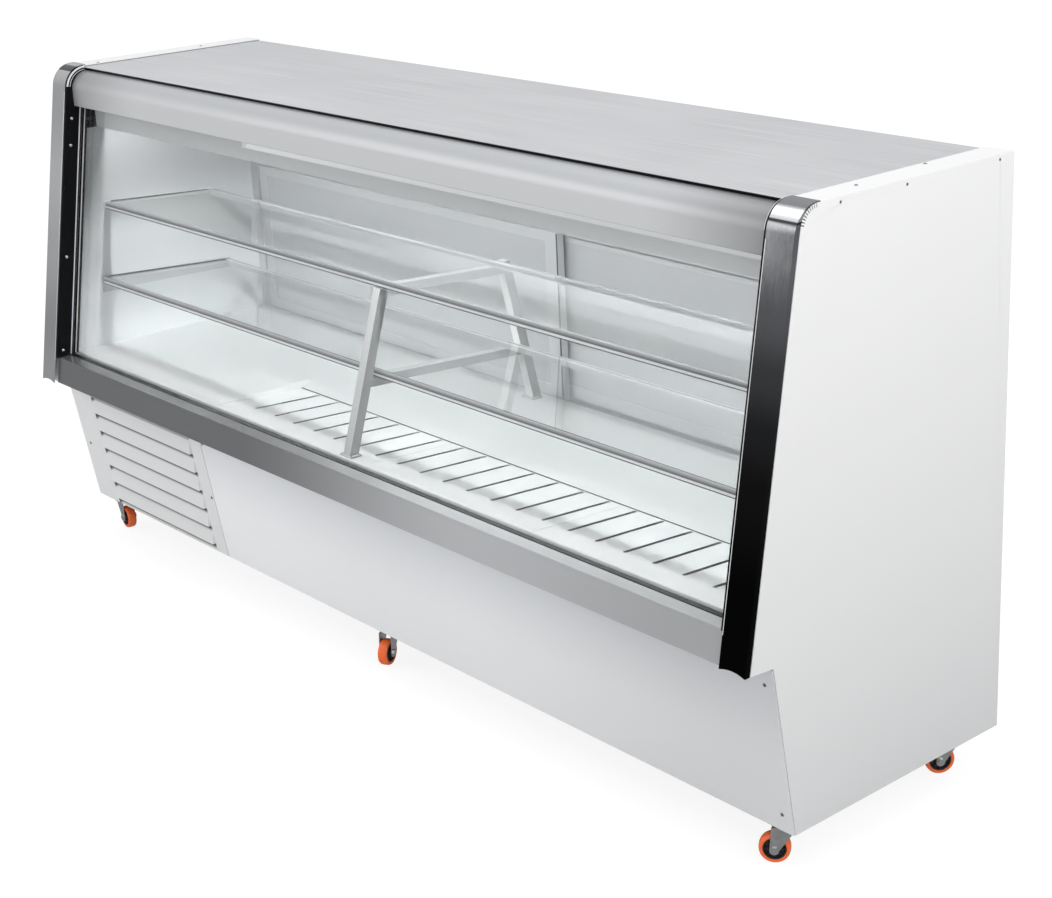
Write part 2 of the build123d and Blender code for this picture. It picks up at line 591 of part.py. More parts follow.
# ---- Shelves and the middle frame ---------------------------------------------------------
RAIL_W, RAIL_H, RAIL_WALL = 14, 20, 1.5
BRACKET_T, BRACKET_FRONT, BRACKET_REAR = 3, 46, 32
RAIL_HALF = INNER_X - BRACKET_T - 1


def shelf_z(shelf, y):
    """Height of the top of a shelf at y: the shelves fall slightly to the rear."""
    y0, z0, y1, z1 = SHELVES[shelf]
    return z0 + (z1 - z0) * (y - y0) / (y1 - y0)


for shelf, (y0, z0, y1, z1) in SHELVES.items():
    with BuildPart() as shelf_glass:
        with BuildSketch(across(-RAIL_HALF)):
            lip = RAIL_WALL + 0.5
            front, rear = shelf_z(shelf, y0 + lip), shelf_z(shelf, y1 - lip)
            polygon((y0 + lip, front), (y1 - lip, rear),
                    (y1 - lip, rear - SHELF_T), (y0 + lip, front - SHELF_T))
        extrude(amount=2 * RAIL_HALF)
    finish(shelf_glass, f"shelf_glass_{shelf}")

with BuildPart() as shelf_rails:
    for shelf, (y0, z0, y1, z1) in SHELVES.items():
        for y, inward in ((y0, 1), (y1, -1)):
            top = shelf_z(shelf, y) + 1
            seat = shelf_z(shelf, y + inward * RAIL_W) - SHELF_T - 1
            with BuildSketch(across(-RAIL_HALF)):
                polygon((y, top), (y + inward * RAIL_WALL, top), (y + inward * RAIL_WALL, seat),
                        (y + inward * RAIL_W, seat), (y + inward * RAIL_W, top - RAIL_H), (y, top - RAIL_H))
            extrude(amount=2 * RAIL_HALF)
finish(shelf_rails, "shelf_rails")

with BuildPart() as shelf_brackets:
    for shelf, (y0, z0, y1, z1) in SHELVES.items():
        for side in (-1, 1):
            with BuildSketch(across(side * INNER_X)):
                polygon((y0 - 4, z0 + 3), (y1 + 4, z1 + 3), (y1 + 4, z1 + 3 - BRACKET_REAR),
                        (y0 - 4, z0 + 3 - BRACKET_FRONT))
            extrude(amount=-side * BRACKET_T)
            with BuildSketch(across(side * (INNER_X - BRACKET_T))):
                polygon((y0 + RAIL_W + 1, z0 - 9), (y1 - RAIL_W - 1, z1 - 9), (y1 - RAIL_W - 1, z1 - 12),
                        (y0 + RAIL_W + 1, z0 - 12))
            extrude(amount=-side * 22)
finish(shelf_brackets, "shelf_brackets")

FOOT_T = 3
LEG_FOOT_Y, LEG_HEAD_Y = -268, -150
REAR_HEAD_Y, REAR_FOOT_Y = 205, 284
UP_Y0, UP_Z0, UP_Y1, UP_Z1 = SHELVES["upper"]


def leg(y_foot, z_foot, y_head, z_head, width=TUBE):
    """Leaning tube leg between two heights."""
    polygon((y_foot - width / 2, z_foot), (y_head - width / 2, z_head),
            (y_head + width / 2, z_head), (y_foot + width / 2, z_foot))


def front_leg_y(z):
    """Centre of the front leg at height z."""
    return LEG_FOOT_Y + (LEG_HEAD_Y - LEG_FOOT_Y) * (z - DECK_Z) / (UP_Z0 - 22 - DECK_Z)


def rear_leg_y(z):
    """Centre of the rear leg at height z."""
    return REAR_FOOT_Y + (REAR_HEAD_Y - REAR_FOOT_Y) * (z - DECK_Z) / (UP_Z1 - 20 - DECK_Z)


ARM_H = 20
with BuildPart() as centre_frame:
    with BuildSketch(across(FRAME_X - TUBE / 2)):
        leg(LEG_FOOT_Y, DECK_Z + 0.2, LEG_HEAD_Y, UP_Z0 - 20.5)
        leg(REAR_FOOT_Y, DECK_Z + 0.2, REAR_HEAD_Y, UP_Z1 - 8)
        for shelf in SHELVES:
            y0 = front_leg_y(SHELVES[shelf][1] - RAIL_H)
            y1 = rear_leg_y(SHELVES[shelf][3] - RAIL_H)
            polygon((y0, shelf_z(shelf, y0) - RAIL_H - ARM_H), (y0, shelf_z(shelf, y0) - RAIL_H),
                    (y1, shelf_z(shelf, y1) - RAIL_H), (y1, shelf_z(shelf, y1) - RAIL_H - ARM_H))
    extrude(amount=TUBE)
    with BuildSketch(Plane.XY.offset(DECK_Z)):
        with Locations((FRAME_X, LEG_FOOT_Y), (FRAME_X, REAR_FOOT_Y - 8)):
            Rectangle(TUBE + 20, TUBE + 6)
    extrude(amount=FOOT_T)
finish(centre_frame, "centre_frame")

# ---- Cooling --------------------------------------------------------------------------------
COIL_X0, COIL_X1 = -400, 900
COIL_Y0, COIL_Y1 = -245, -45
COIL_Z0, COIL_Z1 = TROUGH_Z + 12, 494
FINS = 52
with BuildPart() as evaporator_coil:
    pitch = (COIL_X1 - COIL_X0) / FINS
    with BuildSketch(Plane.XY.offset(COIL_Z0)):
        with Locations(((COIL_X0 + COIL_X1) / 2, (COIL_Y0 + COIL_Y1) / 2)):
            with GridLocations(pitch, 1, FINS, 1):
                Rectangle(2, COIL_Y1 - COIL_Y0)
    extrude(amount=COIL_Z1 - COIL_Z0)
    for row in range(4):
        for level in (0.3, 0.7):
            y = COIL_Y0 + (row + 0.5) * (COIL_Y1 - COIL_Y0) / 4
            z = COIL_Z0 + level * (COIL_Z1 - COIL_Z0)
            with BuildSketch(across(COIL_X0 - 20)):
                with Locations((y, z)):
                    Circle(6)
            extrude(amount=COIL_X1 - COIL_X0 + 40)
    for x in (COIL_X0 - 4, COIL_X1 + 2):
        with BuildSketch(across(x)):
            with Locations(((COIL_Y0 + COIL_Y1) / 2, (TROUGH_Z + LINER + COIL_Z1) / 2)):
                Rectangle(COIL_Y1 - COIL_Y0 + 10, COIL_Z1 - TROUGH_Z - LINER)
        extrude(amount=2)
finish(evaporator_coil, "evaporator_coil")

TRAY_Z = BASE_Z + 40
CONDENSER = (-970, -190, 232)
COMPRESSOR = (-985, 150)
FAN_Y = CONDENSER[1] + 52
EVAP_FAN = (-480, -140, 466)
with BuildPart() as condenser:
    with BuildSketch(Plane.XY.offset(TRAY_Z + LINER)):
        with Locations((CONDENSER[0], CONDENSER[1])):
            Rectangle(400, 44)
    extrude(amount=190)
    with BuildSketch(Plane.XZ.offset(-CONDENSER[1] - 22)):
        with Locations((CONDENSER[0], CONDENSER[2])):
            Circle(88)
    extrude(amount=4, mode=Mode.SUBTRACT)
    with BuildSketch(Plane.XY.offset(TRAY_Z + LINER + 6)):
        with Locations((CONDENSER[0], CONDENSER[1] - 16)):
            with GridLocations(9, 1, 42, 1):
                Rectangle(6, 14)
    extrude(amount=178, mode=Mode.SUBTRACT)
finish(condenser, "condenser")

SHAFT_R = 3
FAN_HUB_R = 16


def fan_rotor(name, plane, radius, blades, depth):
    """Axial fan: a bored hub with pitched blades."""
    with BuildPart() as rotor:
        with BuildSketch(plane):
            Circle(FAN_HUB_R if radius > 60 else 9)
        extrude(amount=depth)
        for i in range(blades):
            reach = plane.x_dir.rotate(Axis((0, 0, 0), plane.z_dir), i * 360 / blades)
            chord = plane.z_dir + plane.z_dir.cross(reach)
            blade_root = Plane(origin=plane.origin + plane.z_dir * (depth / 2), x_dir=chord, z_dir=reach)
            with BuildSketch(blade_root.offset(6)):
                Rectangle(depth * 1.2, 1.4)
            with BuildSketch(blade_root.offset(radius - 1)):
                Rectangle(depth * 1.1, 1.4)
            loft()
        with BuildSketch(plane):
            Circle(SHAFT_R + BORE_GAP)
        extrude(amount=depth, mode=Mode.SUBTRACT)
    finish(rotor, name)


CONDENSER_FAN_PLANE = Plane(origin=(CONDENSER[0], FAN_Y, CONDENSER[2]), x_dir=(1, 0, 0), z_dir=(0, 1, 0))
EVAP_FAN_PLANE = Plane(origin=EVAP_FAN, x_dir=(0, 1, 0), z_dir=(1, 0, 0))
fan_rotor("condenser_fan", CONDENSER_FAN_PLANE, 85, 5, 22)
fan_rotor("evaporator_fan", EVAP_FAN_PLANE, 34, 5, 12)

with BuildPart() as fan_motors:
    with BuildSketch(CONDENSER_FAN_PLANE.offset(30)):
        Circle(32)
    extrude(amount=44)
    with BuildSketch(CONDENSER_FAN_PLANE.offset(-2)):
        Circle(SHAFT_R)
    extrude(amount=40)
    with BuildSketch(Plane.XY.offset(TRAY_Z + LINER)):
        with Locations((CONDENSER[0], FAN_Y + 52)):
            Rectangle(30, 36)
    extrude(amount=CONDENSER[2] - TRAY_Z - 20)
    with BuildSketch(EVAP_FAN_PLANE.offset(-34)):
        Circle(17)
    extrude(amount=28)
    with BuildSketch(EVAP_FAN_PLANE.offset(-12)):
        Circle(SHAFT_R)
    extrude(amount=26)
    with BuildSketch(Plane.XY.offset(TROUGH_Z + LINER)):
        with Locations((EVAP_FAN[0] - 20, EVAP_FAN[1])):
            Rectangle(22, 22)
    extrude(amount=EVAP_FAN[2] - TROUGH_Z - 10)
finish(fan_motors, "fan_motors")

COMPRESSOR_R, COMPRESSOR_H = 78, 190
with BuildPart() as compressor:
    with BuildSketch(Plane.XY.offset(TRAY_Z + LINER + 14)):
        with Locations(COMPRESSOR):
            Circle(COMPRESSOR_R)
    extrude(amount=COMPRESSOR_H - 14)
    shell_rims = compressor.edges().filter_by(GeomType.CIRCLE)
    fillet(shell_rims, 30)
    with BuildSketch(Plane.XY.offset(TRAY_Z + LINER + 10)):
        with Locations(COMPRESSOR):
            Rectangle(200, 120)
    extrude(amount=6)
    with BuildSketch(Plane.XY.offset(TRAY_Z + LINER)):
        with Locations(COMPRESSOR):
            with GridLocations(176, 96, 2, 2):
                Circle(11)
    extrude(amount=10)
    with BuildSketch(Plane.YZ.offset(COMPRESSOR[0] + COMPRESSOR_R - 8)):
        with Locations((COMPRESSOR[1], TRAY_Z + 100)):
            Rectangle(60, 70)
    extrude(amount=36)
finish(compressor, "compressor")

PIPE_BEND = 14


def pipe(*points):
    """Copper pipe along straight runs joined by tangent bends."""
    with BuildLine() as route:
        FilletPolyline(*points, radius=PIPE_BEND)
    start = Vector(*points[0])
    heading = Vector(*points[1]) - start
    with BuildSketch(Plane(origin=start, z_dir=heading)) as section:
        Circle(PIPE_R)
    sweep(section.sketch, path=route.wires()[0])


CX, CY = COMPRESSOR
SHELL_TOP = TRAY_Z + LINER + COMPRESSOR_H
with BuildPart() as pipework:
    pipe((CX - 20, CY, SHELL_TOP), (CX - 20, CY, SHELL_TOP + 22), (CX - 150, CY, SHELL_TOP + 22),
         (CX - 150, CONDENSER[1], SHELL_TOP + 22), (CX - 150, CONDENSER[1], SHELL_TOP))
    pipe((CX + 30, CY, SHELL_TOP), (CX + 30, CY, SHELL_TOP + 26), (RISER_X, CY, SHELL_TOP + 26),
         (RISER_X, RISER_Y, SHELL_TOP + 26), (RISER_X, RISER_Y, 462), (COIL_X0 - 20, RISER_Y, 462))
finish(pipework, "pipework")

# ---- Controls -------------------------------------------------------------------------------
BOX_Y = REAR_Y - 62
PLATE_Y = REAR_Y - 24
KNOB_X, SWITCH_X = CONTROL_X - 45, CONTROL_X + 45
KNOB_R, SPINDLE_R = 17, 3
with BuildPart() as control_box:
    with BuildSketch(Plane.XZ.offset(-PLATE_Y)):
        with Locations((CONTROL_X, CONTROL_Z)):
            Rectangle(WINDOW_W - 4, WINDOW_H - 4)
    extrude(amount=PLATE_Y - BOX_Y)
    with BuildSketch(Plane.XZ.offset(-PLATE_Y)):
        with Locations((SWITCH_X, CONTROL_Z)):
            Rectangle(22, 30)
    extrude(amount=20, mode=Mode.SUBTRACT)
    with BuildSketch(Plane.XZ.offset(-PLATE_Y - 12)):
        with Locations((KNOB_X, CONTROL_Z)):
            Circle(SPINDLE_R)
    extrude(amount=20)
    for z in (-1, 1):
        with BuildSketch(Plane.XZ.offset(-REAR_Y + LINER)):
            with Locations((CONTROL_X, CONTROL_Z + z * (WINDOW_H / 2 - 4))):
                Rectangle(WINDOW_W - 4, 4)
        extrude(amount=REAR_Y - LINER - PLATE_Y)
finish(control_box, "control_box")

KNOB_PLANE = Plane(origin=(KNOB_X, PLATE_Y + 1, CONTROL_Z), x_dir=(-1, 0, 0), z_dir=(0, 1, 0))
with BuildPart() as thermostat_knob:
    with BuildSketch(KNOB_PLANE):
        Circle(KNOB_R)
    extrude(amount=17, taper=6)
    with BuildSketch(KNOB_PLANE.offset(12)):
        with PolarLocations(KNOB_R, 12):
            Circle(2.2)
    extrude(amount=6, mode=Mode.SUBTRACT)
    with BuildSketch(KNOB_PLANE):
        Circle(SPINDLE_R + BORE_GAP)
    extrude(amount=12, mode=Mode.SUBTRACT)
finish(thermostat_knob, "thermostat_knob")

ROCKER_TILT = radians(8)        # it rests tipped to its off side
ROCKER_PLANE = Plane(origin=(SWITCH_X - 9, PLATE_Y - 3, CONTROL_Z),
                     x_dir=(0, cos(ROCKER_TILT), -sin(ROCKER_TILT)), z_dir=(1, 0, 0))
with BuildPart() as power_switch:
    with BuildSketch(ROCKER_PLANE):
        polygon((-6, -9), (5, -12), (2, 0), (5, 12), (-6, 9))
    extrude(amount=18)
finish(power_switch, "power_switch")

with BuildPart() as cable_gland:
    with BuildSketch(Plane.XZ.offset(-REAR_Y)):
        with Locations((CONTROL_X - 170, CONTROL_Z - 40)):
            Circle(8.9)
            Circle(4, mode=Mode.SUBTRACT)
    extrude(amount=14)
    with BuildSketch(Plane.XZ.offset(-REAR_Y + LINER)):
        with Locations((CONTROL_X - 170, CONTROL_Z - 40)):
            RegularPolygon(13, 6)
            Circle(4, mode=Mode.SUBTRACT)
    extrude(amount=8)
finish(cable_gland, "cable_gland")

# ---- Base and casters -----------------------------------------------------------------------
BAR = 38
RAIL_YS = (-208, 296)
BAR_WALL = 2.5


def ladder(width, length, depth):
    """Long ladder with five rungs, as a sketch on the middle lines of its bars."""
    with Locations((0, sum(RAIL_YS) / 2)):
        Rectangle(length, depth)
        for x in (-0.75, -0.25, 0.25, 0.75):
            with Locations((x * (INNER_X - BAR / 2), 0)):
                Rectangle(INNER_X / 2 - BAR / 4 - width, RAIL_YS[1] - RAIL_YS[0] - width, mode=Mode.SUBTRACT)


with BuildPart() as base_frame:
    with BuildSketch(Plane.XY.offset(BASE_Z)):
        ladder(BAR, 2 * INNER_X, RAIL_YS[1] - RAIL_YS[0] + BAR)
    extrude(amount=BAR)
    trough_w = BAR - 2 * BAR_WALL
    with BuildSketch(Plane.XY.offset(BASE_Z + BAR_WALL)):
        ladder(trough_w, 2 * INNER_X - 2 * BAR_WALL, RAIL_YS[1] - RAIL_YS[0] + trough_w)
    extrude(amount=BAR - BAR_WALL, mode=Mode.SUBTRACT)
finish(base_frame, "base_frame")

with BuildPart() as machine_tray:
    with BuildSketch(Plane.XY.offset(BASE_Z + BAR)):
        with Locations((0, (RAIL_YS[0] + REAR_Y - LINER - BAR / 2) / 2)):
            Rectangle(2 * INNER_X, REAR_Y - LINER - RAIL_YS[0] + BAR / 2)
    extrude(amount=TRAY_Z + LINER - BASE_Z - BAR)
finish(machine_tray, "machine_tray")

PLATE_W, PLATE_D, PLATE_T = 70, 60, 3
RING_R, PIN_R = 22, 5
with BuildPart() as caster_plates:
    for x, y, heading in CASTERS.values():
        with BuildSketch(Plane.XY.offset(BASE_Z - PLATE_T)):
            with Locations((x, y)):
                RectangleRounded(PLATE_W, PLATE_D, 6)
        extrude(amount=PLATE_T)
        with BuildSketch(Plane.XY.offset(FORK_TOP_Z + 0.5)):
            with Locations((x, y)):
                Circle(RING_R)
        extrude(amount=BASE_Z - PLATE_T - FORK_TOP_Z - 0.5)
        with BuildSketch(Plane.XY.offset(FORK_TOP_Z - 9)):
            with Locations((x, y)):
                Circle(PIN_R)
        extrude(amount=12)
finish(caster_plates, "caster_plates")

FORK_SHEET, FORK_GAP = 2.5, 2
FORK_HALF = WHEEL_W / 2 + FORK_GAP


def caster(place, x, y, heading):
    """Swivel fork with its axle bolt, and the wheel that turns on it."""
    turn = radians(heading)
    roll = Vector(cos(turn), sin(turn), 0)
    axle = Vector(-sin(turn), cos(turn), 0)
    deck = Plane(origin=(x, y, 0), x_dir=roll, z_dir=(0, 0, 1))
    side = Plane(origin=(x, y, 0), x_dir=roll, z_dir=-axle)
    with BuildPart() as fork:
        with BuildSketch(deck.offset(FORK_TOP_Z - 4)):
            Circle(RING_R + 2)
            with Locations((TRAIL / 2, 0)):
                Rectangle(RING_R * 1.2, 2 * FORK_HALF + 2 * FORK_SHEET)
        extrude(amount=4)
        for hand in (-1, 1):
            with BuildSketch(side.offset(hand * FORK_HALF)):
                with BuildLine():
                    Polyline((TRAIL - 9, WHEEL_R - 2), (-RING_R + 6, FORK_TOP_Z - 4),
                             (-RING_R + 6, FORK_TOP_Z), (TRAIL + 6, FORK_TOP_Z), (TRAIL + 10, WHEEL_R - 2))
                    ThreePointArc((TRAIL + 10, WHEEL_R - 2), (TRAIL, WHEEL_R - 11), (TRAIL - 9, WHEEL_R - 2))
                make_face()
            extrude(amount=hand * FORK_SHEET)
        with BuildSketch(deck.offset(FORK_TOP_Z - 4)):
            Circle(PIN_R + BORE_GAP)
        extrude(amount=5, mode=Mode.SUBTRACT)
        with BuildSketch(side.offset(-FORK_HALF - FORK_SHEET)):
            with Locations((TRAIL, WHEEL_R)):
                Circle(AXLE_R)
        extrude(amount=2 * (FORK_HALF + FORK_SHEET))
        for hand in (-1, 1):
            with BuildSketch(side.offset(hand * (FORK_HALF + FORK_SHEET))):
                with Locations((TRAIL, WHEEL_R)):
                    RegularPolygon(8, 6)
            extrude(amount=hand * 4)
    finish(fork, f"caster_fork_{place}")
    with BuildPart() as wheel:
        with BuildSketch(side.offset(-WHEEL_W / 2)):
            with Locations((TRAIL, WHEEL_R)):
                Circle(WHEEL_R)
                Circle(AXLE_R + BORE_GAP, mode=Mode.SUBTRACT)
        extrude(amount=WHEEL_W)
        rims = wheel.edges().filter_by(GeomType.CIRCLE).group_by(SortBy.RADIUS)[-1]
        chamfer(rims, 2)
        for hand in (-1, 1):
            with BuildSketch(side.offset(hand * WHEEL_W / 2)):
                with Locations((TRAIL, WHEEL_R)):
                    Circle(CORE_R)
                    Circle(AXLE_R + 5, mode=Mode.SUBTRACT)
            extrude(amount=-hand * 3, mode=Mode.SUBTRACT)
    finish(wheel, f"caster_wheel_{place}")


for place, (x, y, heading) in CASTERS.items():
    caster(place, x, y, heading)

# ---- Fasteners ------------------------------------------------------------------------------
FRONT_SCREWS = ((-1293, 167), (-659, 170), (-637, 330), (1300, 330), (1300, 40))
OUTWARD = (0, -cos(PANEL_LEAN), -sin(PANEL_LEAN))
with BuildPart() as panel_screws:
    for x, up in FRONT_SCREWS:
        y, z = lower_point(up, PANEL_GAP + LINER)
        with BuildSketch(Plane(origin=(x, y, z), x_dir=(1, 0, 0), z_dir=OUTWARD)):
            Circle(SCREW_R)
        extrude(amount=SCREW_H, taper=20)
    for side in (-1, 1):
        with BuildSketch(across(side * (HALF - 0.5))):
            with Locations(*[(y, TOP_SCREW_Z) for y in TOP_SCREW_YS]):
                Circle(SCREW_R - 1)
        extrude(amount=-side * (SHEET - 0.5))
finish(panel_screws, "panel_screws")

print("pieces written:", len(os.listdir("parts")))
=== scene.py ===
"""Looks of the refrigerated deli case: materials, rounded edges, casters, small fittings, studio.

Metres, +Z up, the customer's side faces -Y. The floor is z = 0.
"""

import json
from math import atan, cos, pi, radians, sin, tan, tau

import bmesh
import bpy
from mathutils import Matrix, Vector


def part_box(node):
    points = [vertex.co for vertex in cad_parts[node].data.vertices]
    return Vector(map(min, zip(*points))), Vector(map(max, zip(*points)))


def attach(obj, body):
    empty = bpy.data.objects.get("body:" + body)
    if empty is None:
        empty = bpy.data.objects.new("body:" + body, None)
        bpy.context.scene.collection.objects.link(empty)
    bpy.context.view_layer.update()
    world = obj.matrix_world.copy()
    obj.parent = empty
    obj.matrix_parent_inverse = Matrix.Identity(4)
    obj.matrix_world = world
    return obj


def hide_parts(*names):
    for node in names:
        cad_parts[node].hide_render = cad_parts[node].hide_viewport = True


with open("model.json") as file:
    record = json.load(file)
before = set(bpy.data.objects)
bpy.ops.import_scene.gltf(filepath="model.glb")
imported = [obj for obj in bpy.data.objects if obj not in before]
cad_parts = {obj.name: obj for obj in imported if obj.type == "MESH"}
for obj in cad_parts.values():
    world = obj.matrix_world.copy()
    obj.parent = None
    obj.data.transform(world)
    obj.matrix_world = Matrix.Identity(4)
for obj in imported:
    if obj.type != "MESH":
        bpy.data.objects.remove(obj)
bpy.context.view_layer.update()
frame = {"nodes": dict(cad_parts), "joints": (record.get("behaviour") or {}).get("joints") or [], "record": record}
NODES = frame["nodes"]
JOINTS = {joint["name"]: joint for joint in frame["joints"]}
PLACES = [name.removeprefix("roll_") for name in JOINTS if name.startswith("roll_")]

# ---- Driving places ------------------------------------------------------------------------
TOP = 1.3
BASE = 0.09
NOSE = Vector((0, -0.360, 0.462))
TOP_FRONT_Y = -0.216
SLOPE = atan((TOP_FRONT_Y - NOSE.y) / (TOP - NOSE.z))
TOE_Y = -0.242
NOTCH = Vector((0, -0.299, 0.457))
LEAN = atan((TOE_Y - NOTCH.y) / (NOTCH.z - BASE))
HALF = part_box("end_skin_right")[1].x
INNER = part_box("header")[1].x + 0.0005
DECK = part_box("deck_sheet")[1].z
COVER_OUT = 0.0042
CONTROL = Vector((-0.990, 0.350, 0.250))
SHELF_THICKNESS = 0.006
X_AXIS, Y_AXIS, Z_AXIS = Vector((1, 0, 0)), Vector((0, 1, 0)), Vector((0, 0, 1))
LOWER_OUT = Vector((0, -cos(LEAN), -sin(LEAN)))
SIDES = ((-1, "left"), (1, "right"))


def slope_point(x, z, out=0.0):
    """Point at height z on the sloping front, moved out from it."""
    return Vector((x, TOP_FRONT_Y - (TOP - z) * tan(SLOPE) - out / cos(SLOPE), z))


def lower_point(x, up, out=COVER_OUT):
    """Point on the lower front, up along it and out from it."""
    y = TOE_Y - up * sin(LEAN) - out * cos(LEAN)
    return Vector((x, y, BASE + up * cos(LEAN) - out * sin(LEAN)))


# ---- Materials -----------------------------------------------------------------------------
MIX_A, MIX_B, MIX_COLOUR = 6, 7, 2      # a Mix node's colour sockets, which share their names


def mix_shaders(tree, factor, first, second):
    """First shader where the factor is 0, second where it is 1."""
    node = tree.nodes.new("ShaderNodeMixShader")
    for source, socket in zip((factor, first, second), node.inputs):
        tree.links.new(source, socket)
    return node.outputs["Shader"]


class Finish:
    """One material: a Principled shader and the nodes that feed it."""

    def __init__(self, name, colour, roughness, metallic=0.0, **sockets):
        self.material = bpy.data.materials.new(name)
        self.material.use_nodes = True
        self.tree = self.material.node_tree
        self.shader = self.tree.nodes["Principled BSDF"]
        self.shader.inputs["Base Color"].default_value = (*colour, 1)
        self.shader.inputs["Roughness"].default_value = roughness
        self.shader.inputs["Metallic"].default_value = metallic
        for socket, value in sockets.items():
            self.shader.inputs[socket.replace("_", " ")].default_value = value
        self.place = self.add("ShaderNodeTexCoord").outputs["Object"]

    def add(self, kind, **settings):
        node = self.tree.nodes.new(kind)
        for key, value in settings.items():
            setattr(node, key, value)
        return node

    def join(self, source, target):
        self.tree.links.new(source, target)

    def feed(self, value, socket):
        """Set a socket to a number or a plain colour, or join another node's socket to it."""
        if isinstance(value, (int, float)):
            socket.default_value = value
        elif isinstance(value, tuple):
            socket.default_value = (*value, 1)
        else:
            self.join(value, socket)

    def parts(self, source=None):
        """X, Y and Z of a vector, the place in object space unless another is given."""
        node = self.add("ShaderNodeSeparateXYZ")
        self.join(source or self.place, node.inputs["Vector"])
        return node.outputs

    def math(self, operation, *values):
        """Result of a sum on sockets and plain numbers."""
        node = self.add("ShaderNodeMath", operation=operation)
        for value, socket in zip(values, node.inputs):
            self.feed(value, socket)
        return node.outputs["Value"]

    def show(self, surface):
        """Use another shader for the surface."""
        self.join(surface, self.tree.nodes["Material Output"].inputs["Surface"])

    def noise(self, scale, detail=3.0, stretch=(1, 1, 1)):
        """Noise in object space, drawn out along the axes with a small stretch."""
        mapping = self.add("ShaderNodeMapping")
        mapping.inputs["Scale"].default_value = stretch
        self.join(self.place, mapping.inputs["Vector"])
        texture = self.add("ShaderNodeTexNoise")
        texture.inputs["Scale"].default_value = scale
        texture.inputs["Detail"].default_value = detail
        self.join(mapping.outputs["Vector"], texture.inputs["Vector"])
        return texture.outputs["Fac"]

    def along(self, axis, low, high):
        """0 to 1 between two places along an axis."""
        return self.ranged(self.parts()[axis], (low, high), (0, 1))

    def ranged(self, value, span, result, smooth=False, clamp=True):
        """Carry a value from one range to another."""
        steps = "SMOOTHSTEP" if smooth else "LINEAR"
        node = self.add("ShaderNodeMapRange", interpolation_type=steps, clamp=clamp)
        self.join(value, node.inputs["Value"])
        for socket, number in zip(("From Min", "From Max", "To Min", "To Max"), (*span, *result)):
            node.inputs[socket].default_value = number
        return node.outputs["Result"]

    def blend(self, factor, first, second):
        """Colour between two others, each a plain colour or a socket."""
        node = self.add("ShaderNodeMix", data_type="RGBA")
        self.join(factor, node.inputs["Factor"])
        self.feed(first, node.inputs[MIX_A])
        self.feed(second, node.inputs[MIX_B])
        return node.outputs[MIX_COLOUR]

    def times(self, first, second):
        """Product of two colour sockets."""
        node = self.add("ShaderNodeMix", data_type="RGBA", blend_type="MULTIPLY")
        node.inputs["Factor"].default_value = 1
        self.join(first, node.inputs[MIX_A])
        self.join(second, node.inputs[MIX_B])
        return node.outputs[MIX_COLOUR]

    def paint(self, source):
        """Take the colour from a socket."""
        self.join(source, self.shader.inputs["Base Color"])
        return self

    def dull(self, value, low, high, span=(0.35, 0.65)):
        """Let the roughness follow a value, between two limits."""
        self.join(self.ranged(value, span, (low, high)), self.shader.inputs["Roughness"])
        return self

    def relief(self, height, distance, strength=1.0):
        """Raise the surface by a height, over any relief that it has."""
        bump = self.add("ShaderNodeBump")
        bump.inputs["Distance"].default_value = distance
        bump.inputs["Strength"].default_value = strength
        self.join(height, bump.inputs["Height"])
        if self.shader.inputs["Normal"].is_linked:
            self.join(self.shader.inputs["Normal"].links[0].from_socket, bump.inputs["Normal"])
        self.join(bump.outputs["Normal"], self.shader.inputs["Normal"])
        return self


def shade(colour, amount):
    """Colour made lighter or darker."""
    return tuple(min(1.0, channel * amount) for channel in colour)


def powder_coat(name, colour, roughness=0.34, peel=0.00012, low=None, over=None, clouds=1.7):
    """Sprayed coating with fine orange peel and faint clouding.

    low is a darker colour painted at the foot as shade, and over(finish, tone) paints on top of it.
    """
    finish = Finish(name, colour, roughness,
                    Specular_IOR_Level=0.5, Coat_Weight=0.12, Coat_Roughness=0.12)
    tone = finish.blend(finish.noise(clouds, 2), shade(colour, 0.98), shade(colour, 1.01))
    if low:
        tone = finish.blend(finish.along("Z", BASE, TOP), low, tone)
    finish.paint(over(finish, tone) if over else tone)
    finish.dull(finish.noise(60, 2), roughness - 0.01, roughness + 0.01)
    return finish.relief(finish.noise(420, 2), peel, 0.3)


def steel(name, colour, roughness, grain="X", lines=260, depth=0.00003):
    """Brushed stainless steel with its grain along one axis, and faint wiping marks."""
    finish = Finish(name, colour, roughness, 1.0)
    stretch = tuple(0.012 if axis == grain else 1 for axis in "XYZ")
    scratches = finish.noise(lines, 4, stretch)
    marks = finish.math("MULTIPLY", scratches, finish.noise(2.2, 3))
    brushed = finish.ranged(scratches, (0.3, 0.7), (0, 1))
    finish.paint(finish.blend(brushed, shade(colour, 0.93), shade(colour, 1.05)))
    finish.dull(marks, roughness - 0.05, roughness + 0.08, (0.15, 0.4))
    return finish.relief(scratches, depth, 0.6)


def grey(value):
    """Slightly cool grey."""
    return (value * 0.99, value, value * 1.012)


